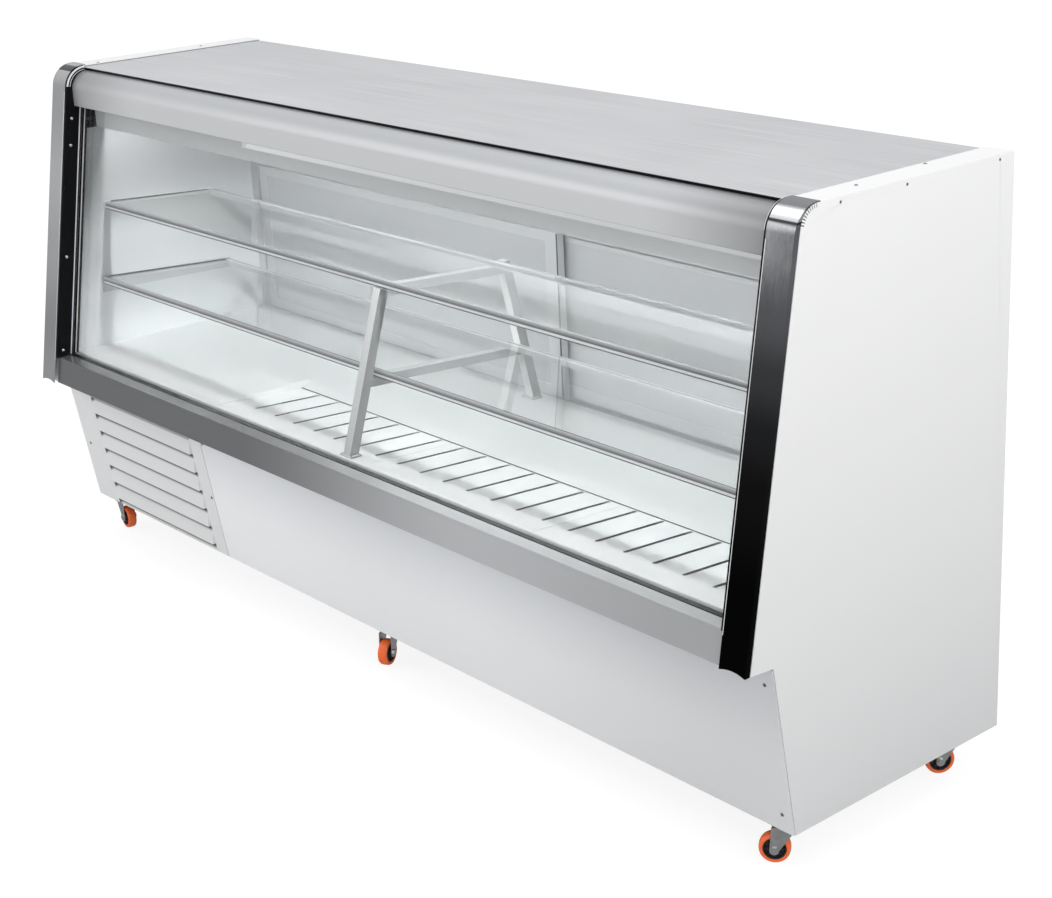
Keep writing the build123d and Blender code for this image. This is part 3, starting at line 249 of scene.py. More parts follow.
def paint_light_along(finish, axis, stops, metallic=1.0, across=None, worn=0.9):
    """Paint light onto a finish: greys along an axis, (place, grey), as painted reflections and shade.

    across paints shade along another axis: (axis, start, end, share left at the end), and worn is
    the share that the darkest of its fine scratches leaves; the scratches are real wear.
    """
    finish.shader.inputs["Metallic"].default_value = metallic
    tone = grey(stops[0][1])
    for (start, _), (end, value) in zip(stops, stops[1:]):
        step = finish.ranged(finish.along(axis, start, end), (0, 1), (0, 1), True)
        tone = finish.blend(step, tone, grey(value))
    if across:
        step = finish.ranged(finish.along(*across[:3]), (0, 1), (0, 1), True)
        tone = finish.times(tone, finish.blend(step, (1, 1, 1), grey(across[3])))
    scratches = finish.noise(220, 3, (1, 1, 0.02) if axis == "Z" else (0.02, 1, 1))
    return finish.paint(finish.times(tone, finish.blend(scratches, grey(worn), (1, 1, 1))))


LOUVRE_LEFT, LOUVRE_RIGHT = -1.211, -0.704
LOUVRE_FOOT, LOUVRE_TOP, LOUVRE_PITCH = 0.022, 0.413, 0.0527


def louvred(finish, tone):
    """Darken a cover where each louvre's lip shades the sheet below its mouth."""
    x, _, z = finish.parts()
    foot = BASE + LOUVRE_FOOT * cos(LEAN) - COVER_OUT * sin(LEAN) - 0.0016
    turn = finish.ranged(z, (foot, foot + LOUVRE_PITCH * cos(LEAN)), (1, 2), clamp=False)
    # Near each louvre's left end the painted shade widens into a dark wedge.
    corner = finish.ranged(x, (LOUVRE_LEFT, LOUVRE_LEFT + 0.022), (0.2, 0))
    wider = finish.math("ADD", finish.math("FRACT", turn), corner)
    mask = finish.ranged(wider, (0.68, 0.90), (0, 1), True)
    for place, span, result in ((x, (LOUVRE_LEFT - 0.002, LOUVRE_LEFT), (0, 1)),
                                (x, (LOUVRE_RIGHT, LOUVRE_RIGHT + 0.003), (1, 0)),
                                (z, (LOUVRE_TOP, LOUVRE_TOP + 0.003), (1, 0))):
        mask = finish.math("MULTIPLY", mask, finish.ranged(place, span, result))
    return finish.blend(mask, tone, (0.05, 0.052, 0.056))


def side_shaded(finish, tone):
    """Darker on the faces that look to the right, away from the lamps."""
    normal = finish.parts(finish.add("ShaderNodeNewGeometry").outputs["Normal"])
    return finish.blend(finish.ranged(normal["X"], (0.5, 0.9), (0, 1)), tone, grey(0.24))


def moulded(name, colour, roughness=0.5, grain=0.00008, **sockets):
    """Moulded plastic or rubber with a fine grain and slightly uneven gloss."""
    finish = Finish(name, colour, roughness, **sockets)
    finish.paint(finish.blend(finish.noise(9, 4), shade(colour, 0.85), shade(colour, 1.12)))
    finish.dull(finish.noise(30, 4), roughness - 0.08, roughness + 0.1)
    return finish.relief(finish.noise(900, 2), grain, 0.6)


def clear_glass(name, tint):
    """Flat glass that lamps shine through."""
    finish = Finish(name, tint, 0.0, IOR=1.45, Transmission_Weight=1.0)
    rays = finish.add("ShaderNodeLightPath").outputs
    bounced = finish.math("MAXIMUM", rays["Is Shadow Ray"], rays["Is Diffuse Ray"])
    through = finish.add("ShaderNodeBsdfTransparent")
    through.inputs["Color"].default_value = (*shade(tint, 0.98), 1)
    finish.show(mix_shaders(finish.tree, bounced, finish.shader.outputs["BSDF"],
                            through.outputs["BSDF"]))
    return finish


def foam():
    """Cut rigid foam: cream cells, in deep shade where the ends' slits show it."""
    finish = Finish("rigid_foam", (0.82, 0.74, 0.50), 0.9)
    cells = finish.blend(finish.noise(60, 4), (0.70, 0.61, 0.38), (0.88, 0.81, 0.58))
    low = finish.blend(finish.along("Z", 1.20, 1.21), (1, 1, 1), (0.006, 0.006, 0.007))
    shaded = finish.blend(finish.along("Y", -0.15, -0.14), low, (1, 1, 1))
    finish.paint(finish.times(cells, shaded))
    return finish.relief(finish.noise(350, 4), 0.0008)


def zinc():
    """Bright zinc plating with its faint yellow and blue bloom."""
    finish = Finish("zinc_plating", (0.62, 0.62, 0.60), 0.32, 1.0)
    finish.paint(finish.blend(finish.noise(55, 4), (0.50, 0.50, 0.48), (0.74, 0.74, 0.72)))
    finish.dull(finish.noise(120, 4), 0.24, 0.42)
    return finish.relief(finish.noise(300, 3), 0.00006)


def tread():
    """Orange polyurethane tread, dusty where it meets the floor."""
    orange = (1.0, 0.165, 0.03)
    finish = Finish("orange_tread", orange, 0.38, Subsurface_Weight=0.08, Coat_Weight=0.2)
    patches = finish.ranged(finish.noise(45, 5), (0.55, 0.72), (0, 0.25))
    finish.paint(finish.blend(patches, orange, (0.42, 0.10, 0.04)))
    finish.dull(finish.noise(70, 4), 0.3, 0.5)
    return finish.relief(finish.noise(500, 3), 0.00008)


def lamp():
    """Frosted lamp tube."""
    finish = Finish("frosted_tube", (0.93, 0.94, 0.93), 0.45,
                    Emission_Color=(1, 1, 1, 1), Emission_Strength=0.35)
    finish.dull(finish.noise(25, 3), 0.38, 0.5)
    return finish.relief(finish.noise(800, 2), 0.00005)


def shelf_rail_painted_light():
    """Painted highlights and shade up the rails of both shelves, at their rear and front edges."""
    stops = []
    for word in ("lower", "upper"):
        low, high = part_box(f"shelf_glass_{word}")
        rear, front = low.z + 0.007, high.z + 0.001
        stops += [(rear - 0.020, 0.45), (rear - 0.008, 0.45), (rear - 0.007, 0.9),
                  (front - 0.020, 0.10), (front - 0.0178, 0.10), (front - 0.0168, 0.92),
                  (front - 0.0125, 0.92), (front - 0.011, 0.14), (front, 0.6)]
    return stops


FINISHES = {
    # End skins: white, painted darker towards the foot as shade.
    "end_skin": powder_coat("white_coat_ends", (0.96, 0.96, 0.96), 0.3, low=(0.67, 0.675, 0.68)),
    "foam": foam(),
    # Liner: the greys up its walls are painted light and shade, lightest low down.
    "liner": paint_light_along(powder_coat("white_liner", grey(0.7), 0.4), "Z",
                  [(0.55, 0.80), (0.65, 0.67), (0.80, 0.52), (1.0, 0.285), (1.15, 0.37)], 0,
                  worn=0.99),
    # Left trim: greys up its height are painted reflections, with a dark painted reflection across the top bend.
    "trim": paint_light_along(powder_coat("polished_trim", grey(0.4), 0.22, 0.00002), "Z",
                 [(0.5, 0.38), (0.60, 0.33), (0.82, 0.47), (1.0, 0.54), (1.2, 0.42),
                  (1.2855, 0.42), (1.2875, 0.004), (1.2965, 0.004), (1.298, 0.42)], 0.4, worn=0.97),
    # Right trim: painted reflections, near black low down and lighter higher up, with a painted highlight and a
    # thin dark line at the top bend.
    "trim_painted_reflection": paint_light_along(steel("mirror_trim", grey(0.1), 0.12, "Z"), "Z",
                      [(0.60, 0.004), (0.80, 0.018), (0.90, 0.045), (1.0, 0.125), (1.1, 0.27),
                       (1.2, 0.40), (1.24, 0.36), (1.266, 0.36), (1.268, 0.08), (1.2705, 0.08),
                       (1.273, 0.8), (1.279, 1.0), (1.286, 0.9), (1.2915, 0.27)]),
    # Header: greys along its length are painted reflections, darker at both ends, and its upper bend is painted
    # darker.
    "header": paint_light_along(powder_coat("satin_header", grey(0.8), 0.34, 0.00004), "X",
                   [(-HALF, 0.365), (-0.9, 0.68), (0.9, 0.69), (HALF, 0.33)], 0.2,
                   ("Z", 1.235, 1.275, 0.7), 0.985),
    "top": steel("top_sheet", (0.68, 0.685, 0.69), 0.5, "X", 160, 0.00001),
    "valance": powder_coat("lamp_cover", (0.70, 0.71, 0.72), 0.4),
    "lamp": lamp(),
    "pane": clear_glass("front_pane", (0.992, 0.996, 0.995)),
    "channel": moulded("glazing_rubber", (0.005, 0.005, 0.006), 0.5, Specular_IOR_Level=0.15),
    # Fascia: greys along its length are painted reflections, dark at the left and lighter to the right.
    "fascia": paint_light_along(powder_coat("polished_fascia", grey(0.4), 0.26, 0.00002), "X",
                   [(-HALF, 0.212), (-0.4, 0.222), (0.55, 0.69), (1.2, 0.56)], 0.5, worn=0.97),
    # Front covers: painted light, lighter at the left, darker to the right end and towards the top.
    "front_cover": paint_light_along(powder_coat("pale_covers", grey(0.8), 0.3), "X",
                        [(-0.65, 0.94), (0.3, 0.865), (HALF, 0.69)], 0,
                        ("Z", 0.22, 0.44, 0.86), 0.99),
    "louvre": powder_coat("pale_louvres", (0.80, 0.805, 0.81), 0.3, over=louvred),
    "tub": foam(),
    "tub_sheet": steel("trough_sheet", (0.5, 0.51, 0.52), 0.35),
    "deck": powder_coat("white_deck", (0.95, 0.955, 0.96), 0.45, 0.00002, clouds=60),
    "rear_sheet": powder_coat("white_rear", (0.62, 0.625, 0.63), 0.36),
    "door_track": steel("door_frame_section", (0.66, 0.67, 0.68), 0.35),
    "door_ring": powder_coat("door_section", (0.43, 0.437, 0.444), 0.3),
    "door_panel": powder_coat("door_panel", (0.36, 0.367, 0.374), 0.3),
    "shelf": clear_glass("shelf_glass", (0.975, 0.988, 0.984)),
    "rail": powder_coat("satin_rail", (0.84, 0.845, 0.85), 0.2),
    "shelf_rail": paint_light_along(powder_coat("shelf_rail", grey(0.6), 0.25), "Z", shelf_rail_painted_light(), 0,
                       worn=0.97),
    "bracket": powder_coat("grey_brackets", (0.42, 0.425, 0.43), 0.4),
    "frame_tube": powder_coat("satin_tube", (0.62, 0.625, 0.63), 0.3, over=side_shaded),
    "coil": steel("coil_fins", (0.5, 0.51, 0.52), 0.4, "Y"),
    "condenser": moulded("black_fins", (0.02, 0.02, 0.022), 0.5),
    "motor": moulded("motor_shell", (0.05, 0.05, 0.055), 0.45),
    "fan": moulded("black_fan", (0.03, 0.03, 0.032), 0.5),
    "compressor": moulded("gloss_black_shell", (0.01, 0.01, 0.012), 0.25, Coat_Weight=0.4),
    "copper": steel("copper_pipe", (0.72, 0.36, 0.22), 0.3, "X"),
    "control": moulded("grey_panel", (0.42, 0.43, 0.44), 0.45),
    "knob": moulded("black_knob", (0.02, 0.02, 0.022), 0.4),
    "switch": moulded("black_rocker", (0.015, 0.015, 0.017), 0.22, Coat_Weight=0.3),
    "gland": moulded("black_gland", (0.02, 0.02, 0.022), 0.5),
    "base": powder_coat("dark_base", (0.06, 0.06, 0.065), 0.5),
    "tray": steel("galvanised_tray", (0.45, 0.46, 0.47), 0.45),
    "zinc": zinc(),
    "wheel": tread(),
    "screw": steel("plated_screw", (0.30, 0.30, 0.31), 0.3, "Z"),
}
CORE = moulded("black_core", (0.018, 0.018, 0.02), 0.42)
BRIGHT = steel("bright_screw", (0.75, 0.75, 0.76), 0.22, "Z")
WHITE_MARK = moulded("white_mark", (0.8, 0.8, 0.8), 0.5)
GASKET = moulded("door_gasket", (0.02, 0.02, 0.022), 0.6)

# ---- CAD nodes: finish, smooth curves, rounded edges ---------------------------------------
EDGE_RADIUS = {
    "end_skin_left": 0.0012, "end_skin_right": 0.0012, "header": 0.0004, "top_sheet": 0.0005,
    "front_trim_left": 0.0005, "front_trim_right": 0.0005, "fascia": 0.0004, "deck_sheet": 0.0004,
    "deck_pans": 0.0004, "lower_front_panel": 0.0004, "louvre_panel": 0.0004, "centre_frame": 0.002,
    "shelf_rails": 0.0005, "shelf_brackets": 0.0008, "light_valance": 0.0005,
    "glass_channels": 0.0008,
    "door_track_frame": 0.0008, "door_frame_left": 0.0012, "door_frame_right": 0.0012,
    "base_frame": 0.0006, "control_box": 0.0008, "power_switch": 0.0006, "cable_gland": 0.0008,
    "shelf_glass_upper": 0.0008, "shelf_glass_lower": 0.0008,
    "rear_upper_panel": 0.0006, "caster_plates": 0.0006,
}
EDGE_RADIUS.update({f"caster_fork_{place}": 0.0006 for place in PLACES})
SLOTS = {row["node"]: row["material_slot"] for row in frame["record"]["subparts"]}
OWN_FINISH = {"front_trim_right": "trim_painted_reflection", "louvre_panel": "louvre",
              "shelf_rails": "shelf_rail"}
CREASE = radians(32)
ROUNDED_FROM = radians(40)
WELD_GAP = 0.00002


def smooth(mesh):
    """Smooth shading with sharp edges above the crease angle."""
    for face in mesh.polygons:
        face.use_smooth = True
    mesh.set_sharp_from_angle(angle=CREASE)


def dress(node):
    """Give a CAD node its finish and its rounded edges."""
    body = NODES[node]
    body.data.materials.clear()
    body.data.materials.append(FINISHES[OWN_FINISH.get(node, SLOTS[node])].material)
    if "custom_normal" in body.data.attributes:
        body.data.attributes.remove(body.data.attributes["custom_normal"])
    for face in body.data.polygons:
        face.use_smooth = True
    weld = body.modifiers.new("weld", "WELD")
    weld.merge_threshold = WELD_GAP
    if node in EDGE_RADIUS:
        edge = body.modifiers.new("edge", "BEVEL")
        edge.width = EDGE_RADIUS[node]
        edge.segments = 2
        edge.limit_method = "ANGLE"
        edge.angle_limit = ROUNDED_FROM
    crease = body.modifiers.new("crease", "EDGE_SPLIT")
    crease.split_angle = CREASE
    crease.use_edge_sharp = False
    level = body.modifiers.new("level", "WEIGHTED_NORMAL")
    level.mode = "FACE_AREA"
    level.weight = 90


for node in NODES:
    dress(node)


# ---- Mesh helpers --------------------------------------------------------------------------
def lathe(profile, segments=48):
    """Mesh turned round Z from (radius, height) points; a closed profile gives a ring."""
    shape = bmesh.new()
    rings = []
    for radius, height in profile:
        ring = []
        for i in range(segments):
            turn = tau * i / segments
            ring.append(shape.verts.new((radius * cos(turn), radius * sin(turn), height)))
        rings.append(ring)
    for low, high in zip(rings, rings[1:]):
        for i in range(segments):
            shape.faces.new((low[i], low[(i + 1) % segments], high[(i + 1) % segments], high[i]))
    if profile[0] != profile[-1]:
        shape.faces.new(reversed(rings[0]))
        shape.faces.new(rings[-1])
    else:
        bmesh.ops.remove_doubles(shape, verts=shape.verts, dist=1e-7)
    bmesh.ops.recalc_face_normals(shape, faces=shape.faces)
    return shape


def rounded_box(size, radius, segments=3):
    """Box about the origin with rounded edges."""
    shape = bmesh.new()
    bmesh.ops.create_cube(shape, size=1)
    bmesh.ops.scale(shape, vec=size, verts=shape.verts)
    bmesh.ops.bevel(shape, geom=shape.edges, offset=radius, segments=segments, affect="EDGES",
                    profile=0.5)
    return shape


def facing(place, normal, up=Z_AXIS):
    """Transform that stands a shape's Z along a normal at a place."""
    z = Vector(normal).normalized()
    x = Vector(up).cross(z)
    if x.length < 0.01:
        x = X_AXIS.cross(z) if abs(z.x) < 0.9 else Y_AXIS.cross(z)
    x.normalize()
    turn = Matrix((x, z.cross(x), z)).transposed()
    return Matrix.Translation(place) @ turn.to_4x4()


def piece(name, shape, finish, body, transforms=None):
    """Object made of one shape, or of a copy of it for each transform."""
    single = bpy.data.meshes.new(f"{name}_single")
    shape.to_mesh(single)
    shape.free()
    whole = bmesh.new()
    for transform in transforms or [Matrix.Identity(4)]:
        copy = single.copy()
        copy.transform(transform)
        whole.from_mesh(copy)
        bpy.data.meshes.remove(copy)
    mesh = bpy.data.meshes.new(name)
    whole.to_mesh(mesh)
    whole.free()
    bpy.data.meshes.remove(single)
    mesh.materials.append(finish.material)
    smooth(mesh)
    made = bpy.data.objects.new(name, mesh)
    bpy.context.scene.collection.objects.link(made)
    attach(made, body)
    return made


def carve(shape, cutter):
    """Take one closed shape away from another."""
    results = []
    for source in (shape, cutter):
        mesh = bpy.data.meshes.new("carving")
        source.to_mesh(mesh)
        source.free()
        holder = bpy.data.objects.new("carving", mesh)
        bpy.context.scene.collection.objects.link(holder)
        results.append(holder)
    body, tool = results
    cut = body.modifiers.new("cut", "BOOLEAN")
    cut.operation = "DIFFERENCE"
    cut.solver = "EXACT"
    cut.object = tool
    bpy.context.view_layer.update()
    carved = bmesh.new()
    carved.from_object(body, bpy.context.evaluated_depsgraph_get())
    for holder in results:
        mesh = holder.data
        bpy.data.objects.remove(holder)
        bpy.data.meshes.remove(mesh)
    return carved


# ---- Casters -------------------------------------------------------------------------------
TYRE_R, TYRE_W, CORE_R, AXLE_R = 0.0315, 0.024, 0.0235, 0.00505
SPOKES = 8


def tyre_shape():
    """Tread with a crowned face, round shoulders and a step down to its core."""
    half = TYRE_W / 2
    outside = [(CORE_R, -half + 0.001), (CORE_R + 0.002, -half + 0.0004), (TYRE_R - 0.0045, -half),
               (TYRE_R - 0.0022, -half + 0.0009), (TYRE_R - 0.0007, -half + 0.0032),
               (TYRE_R - 0.0001, -half + 0.007)]
    other = [(radius, -height) for radius, height in reversed(outside)]
    crown = [(TYRE_R, 0.0)]
    return lathe(outside + crown + other + [outside[0]], 72)


def core_shape():
    """Hub with a dished web and a boss round the axle."""
    half = TYRE_W / 2
    side = [(AXLE_R, -half), (AXLE_R + 0.0042, -half), (AXLE_R + 0.005, -half + 0.0008),
            (AXLE_R + 0.005, -half + 0.0045), (AXLE_R + 0.007, -half + 0.0062),
            (CORE_R - 0.0045, -half + 0.0062), (CORE_R - 0.0030, -half + 0.0045),
            (CORE_R - 0.0026, -half + 0.0012), (CORE_R - 0.0014, -half + 0.0008),
            (CORE_R - 0.0002, -half + 0.0012)]
    other = [(radius, -height) for radius, height in reversed(side)]
    return lathe(side + other + [side[0]], 64)


def spokes_shape():
    """Ribs of the hub, standing in its dish on both sides."""
    ribs = bmesh.new()
    mesh = bpy.data.meshes.new("rib")
    reach = CORE_R - AXLE_R - 0.007
    rib = rounded_box((reach, 0.0022, TYRE_W - 0.0045), 0.0006, 2)
    bmesh.ops.translate(rib, vec=(AXLE_R + 0.0045 + reach / 2, 0, 0), verts=rib.verts)
    rib.to_mesh(mesh)
    rib.free()
    for i in range(SPOKES):
        turned = mesh.copy()
        turned.transform(Matrix.Rotation(tau * i / SPOKES, 4, "Z"))
        ribs.from_mesh(turned)
        bpy.data.meshes.remove(turned)
    bpy.data.meshes.remove(mesh)
    return ribs


for place in PLACES:
    roll = JOINTS[f"roll_{place}"]
    axle = facing(Vector(roll["pos_m"]), Vector(roll["axis"]))
    wheel = f"wheel_{place}"
    tyre = piece(f"tyre_{place}", tyre_shape(), FINISHES["wheel"], wheel, [axle])
    core = piece(f"core_{place}", core_shape(), CORE, wheel, [axle])
    piece(f"core_ribs_{place}", spokes_shape(), CORE, wheel, [axle])
    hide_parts(f"caster_wheel_{place}")
    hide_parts(f"caster_wheel_{place}")

SWIVELS = [Vector(JOINTS[f"swivel_{place}"]["pos_m"]) for place in PLACES]
WASHER = 0.0012


def hex_head(radius, height):
    """Hexagon head with a chamfered top and a washer face under it."""
    shape = lathe([(radius * 0.98, 0), (radius, height * 0.1), (radius, height * 0.8),
                   (radius * 0.86, height)], 6)
    washer = lathe([(radius * 1.25, -WASHER), (radius * 1.25, 0)], 32)
    mesh = bpy.data.meshes.new("washer")
    washer.to_mesh(mesh)
    washer.free()
    shape.from_mesh(mesh)
    bpy.data.meshes.remove(mesh)
    return shape


BOLT_SPREAD = [(x, y) for x in (-0.027, 0.027) for y in (-0.022, 0.022)]
PLATE_UNDER = 0.087
plate_bolts = [facing(Vector((swivel.x + x, swivel.y + y, PLATE_UNDER - WASHER)), -Z_AXIS)
               for swivel in SWIVELS for x, y in BOLT_SPREAD]
piece("caster_bolts", hex_head(0.0055, 0.0045), FINISHES["zinc"], "root", plate_bolts)


def race_shape():
    """Folded cup of the swivel's ball race, under the top plate."""
    return lathe([(0.0225, 0.0005), (0.0242, 0.0012), (0.0250, 0.0030), (0.0246, 0.0050),
                  (0.0232, 0.0062), (0.0222, 0.0064), (0.0222, 0.0005), (0.0225, 0.0005)], 48)


races = [Matrix.Translation((swivel.x, swivel.y, swivel.z)) for swivel in SWIVELS]
piece("caster_races", race_shape(), FINISHES["zinc"], "root", races)


# ---- Screws --------------------------------------------------------------------------------
def screw_shape(radius, height):
    """Pan head with a cross recess."""
    dome = [(radius * cos(a), height * (0.25 + 0.75 * sin(a))) for a in (0, 0.35, 0.7, 1.05, 1.35)]
    head = lathe([(radius * 0.96, 0)] + dome, 32)
    cross = rounded_box((radius * 1.15, radius * 0.24, height), radius * 0.05, 1)
    arm = rounded_box((radius * 0.24, radius * 1.15, height), radius * 0.05, 1)
    for bar in (cross, arm):
        bmesh.ops.translate(bar, vec=(0, 0, height * 1.1), verts=bar.verts)
        head = carve(head, bar)
    return head


FRONT_SCREWS = ((-1.293, 0.167), (-0.659, 0.170), (-0.637, 0.330), (1.300, 0.330), (1.300, 0.040))
SIDE_SCREWS = ((-0.120, 1.288), (0.060, 1.288), (0.330, 1.288))
TOP_SCREWS = ((1.288, -0.037), (1.268, 0.180), (-1.268, -0.130), (-1.288, 0.200))
screw_places = [facing(lower_point(x, up), LOWER_OUT, X_AXIS) for x, up in FRONT_SCREWS]
for side, _ in SIDES:
    screw_places += [facing(Vector((side * (HALF - 0.0022), y, z)), side * X_AXIS)
                     for y, z in SIDE_SCREWS]
screws = piece("panel_screws_detailed", screw_shape(0.004, 0.0022), FINISHES["screw"], "root",
               screw_places)
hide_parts("panel_screws")
top_places = [facing(Vector((x, y, TOP - 0.002)), Z_AXIS) for x, y in TOP_SCREWS]
piece("flange_screws", screw_shape(0.0038, 0.0018), FINISHES["screw"], "root", top_places)

CHANNEL_FACE = INNER - 0.006
channel_places = [facing(slope_point(side * CHANNEL_FACE, z, -0.006), -side * X_AXIS)
                  for side, _ in SIDES for z in (1.165, 1.095, 0.80, 0.548)]
piece("channel_screws", screw_shape(0.0042, 0.0022), BRIGHT, "root", channel_places)


# ---- Glazing beads, gaskets, shelf seats, clip ---------------------------------------------
BEND_STEPS = 16


def slope_strip(x0, x1, z0, z1, back, front):
    """Solid strip along the sloping front."""
    shape = bmesh.new()
    corners = []
    for x in (x0, x1):
        corners.append([shape.verts.new(slope_point(x, z, out)) for z, out in
                        ((z0, back), (z0, front), (z1, front), (z1, back))])
    for i in range(4):
        j = (i + 1) % 4
        shape.faces.new((corners[0][i], corners[0][j], corners[1][j], corners[1][i]))
    shape.faces.new(corners[0])
    shape.faces.new(reversed(corners[1]))
    bmesh.ops.recalc_face_normals(shape, faces=shape.faces)
    bmesh.ops.bevel(shape, geom=shape.edges, offset=0.0004, segments=2, affect="EDGES", profile=0.5)
    return shape


def bend_band(centre, radius, width, x0, x1):
    """Flat band that follows the bend at the top front corner, from the slope to the top."""
    shape = bmesh.new()
    turns = [SLOPE + (pi / 2 - SLOPE) * i / BEND_STEPS for i in range(BEND_STEPS + 1)]
    rings = []
    for x in (x0, x1):
        for reach in (radius, radius - width):
            rings.append([])
            for turn in turns:
                spot = (x, centre.y - reach * cos(turn), centre.z + reach * sin(turn))
                rings[-1].append(shape.verts.new(spot))
    outer, inner, outer_far, inner_far = rings
    for first, second in ((outer, inner), (inner, inner_far), (inner_far, outer_far),
                          (outer_far, outer)):
        for i in range(BEND_STEPS):
            shape.faces.new((first[i], first[i + 1], second[i + 1], second[i]))
    for i in (0, -1):
        shape.faces.new((outer[i], inner[i], inner_far[i], outer_far[i]))
    bmesh.ops.recalc_face_normals(shape, faces=shape.faces)
    return shape


PANE_FRONTS = (-0.030, -0.047)
for side, word in SIDES:
    for number, out in enumerate(PANE_FRONTS, 1):
        bead = slope_strip(side * (CHANNEL_FACE + 0.0002), side * (CHANNEL_FACE - 0.0022),
                           0.534, 1.194, out + 0.0001, out + 0.0022)
        piece(f"glazing_bead_{word}_{number}", bead, FINISHES["rail"], "root")

pans_low, pans_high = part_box("deck_pans")
# Black strip behind the pans, standing for the shade in the gap there.
gap = rounded_box((pans_high.x - pans_low.x, 0.0022, 0.0012), 0.0004, 2)
gap_place = ((pans_low.x + pans_high.x) / 2, pans_high.y + 0.0006, DECK - 0.0166)
piece("pan_rear_gap", gap, FINISHES["channel"], "root", [Matrix.Translation(gap_place)])

gasket_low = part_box("header")[0].z
gasket = slope_strip(0.012 - INNER, INNER - 0.012, gasket_low - 0.0035, gasket_low - 0.0003,
                     PANE_FRONTS[0] + 0.0001, PANE_FRONTS[0] + 0.002)
piece("header_gasket", gasket, FINISHES["channel"], "root")

for side, word in SIDES:
    low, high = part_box(f"front_trim_{word}")
    edge = min(abs(low.x), abs(high.x))
    # Bright strip along each trim's inner edge, standing for a painted highlight.
    strip = slope_strip(side * (edge + 0.0004), side * (edge + 0.0018), 0.525, 1.236,
                        0.0138, 0.0144)
    piece(f"trim_inner_edge_{word}", strip, FINISHES["rail"], "root")

    bend = slope_point(0, 1.240, -0.046)
    for name, radius, width, slot in (("corner_rim", 0.0578, 0.0045, "end_skin"),
                                      ("corner_line", 0.0490, 0.0014, "rail")):
        band = bend_band(bend, radius, width,
                         side * (CHANNEL_FACE + 0.0002), side * (CHANNEL_FACE - 0.0010))
        piece(f"{name}_{word}", band, FINISHES[slot], "root")

for level in ("lower", "upper"):
    low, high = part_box(f"shelf_glass_{level}")
    front = Vector((0, low.y + 0.014, high.z + 0.0009))
    rear = Vector((0, high.y - 0.014, low.z + SHELF_THICKNESS + 0.0009))
    run = rear - front
    for side, word in SIDES:
        seat = rounded_box((0.0052, run.length, 0.0016), 0.0005, 2)
        tilt = Matrix.Rotation(atan(run.z / run.y), 4, "X")
        middle = (front + rear) / 2 + Vector((side * (high.x - 0.0028), 0, 0))
        piece(f"shelf_seat_{level}_{word}", seat, FINISHES["channel"], "root",
              [Matrix.Translation(middle) @ tilt])

# Black strip in the seam under the top sheet's lip, standing for the shade in that gap.
seam_low, seam_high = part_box("header")[1].z + 0.0003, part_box("top_sheet")[1].z - 0.0014
seam_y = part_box("header")[1].y
seam = rounded_box((2 * INNER - 0.004, 0.004, seam_high - seam_low), 0.0008, 2)
piece("top_seam_shade", seam, FINISHES["channel"], "root",
      [Matrix.Translation((0, seam_y - 0.0022, (seam_low + seam_high) / 2))])

DOORS = {"left": (1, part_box("door_frame_left")), "right": (-1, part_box("door_frame_right"))}
for word, (way, (low, high)) in DOORS.items():
    edge = high.x if way > 0 else low.x
    size = (0.004, 0.0016, high.z - low.z - 0.044)
    middle = Vector((edge - way * 0.0024, low.y - 0.0006, (low.z + high.z) / 2))
    gasket = rounded_box(size, 0.0006, 2)
    piece(f"door_gasket_{word}", gasket, GASKET, f"door_{word}",
          [Matrix.Translation(middle)])

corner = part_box("end_skin_right")[1]
clip = rounded_box((0.0012, 0.0045, 0.036), 0.0005, 2)
clip_place = Matrix.Translation((HALF - 0.0008, corner.y - 0.0035, corner.z - 0.021))
piece("rear_corner_clip", clip, GASKET, "root", [clip_place])

# ---- Controls ------------------------------------------------------------------------------
KNOB = Vector(JOINTS["thermostat_turn"]["pos_m"])
DIAL_END, DIAL_STEP = 150, 30           # degrees from the top to either end of the scale


def dial_place(turn, radius, y):
    """Place beside the knob's axis, turned clockwise from its top as seen from behind the case."""
    spot = Vector((KNOB.x - radius * sin(turn), y, KNOB.z + radius * cos(turn)))
    return Matrix.Translation(spot) @ Matrix.Rotation(-turn, 4, "Y")


pointer = rounded_box((0.0016, 0.0012, 0.011), 0.0004, 2)
pointer_place = dial_place(radians(DIAL_END), 0.0075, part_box("thermostat_knob")[1].y - 0.0003)
piece("knob_pointer", pointer, WHITE_MARK, "thermostat_knob", [pointer_place])
ticks = [dial_place(radians(turn), 0.0225, CONTROL.y + 0.0002)
         for turn in range(-DIAL_END, DIAL_END + 1, DIAL_STEP)]
tick = rounded_box((0.0012, 0.0006, 0.004), 0.0002, 1)
piece("dial_ticks", tick, WHITE_MARK, "root", ticks)

# ---- Feet of the middle frame --------------------------------------------------------------
foot_screws = [facing(Vector((x, y, DECK + 0.0032)), Z_AXIS)
               for y in (-0.2795, -0.2565, 0.2645, 0.2875) for x in (-0.030, 0.006)]
piece("frame_foot_screws", screw_shape(0.0028, 0.0016), BRIGHT, "root", foot_screws)

# ---- Studio --------------------------------------------------------------------------------
DIM_ROOM = (0.30, 0.305, 0.32)          # what shiny pieces mirror, below and to the sides
FLOOR_GLOW = 1.12                       # the pale floor that the camera sees
FLOOR_GLOW_SHARE = 0.78
DAYLIGHT = 0.78


def glow(finish, colour):
    """Shader that gives off a plain colour."""
    node = finish.add("ShaderNodeEmission")
    node.inputs["Color"].default_value = (*colour, 1)
    return node.outputs["Emission"]


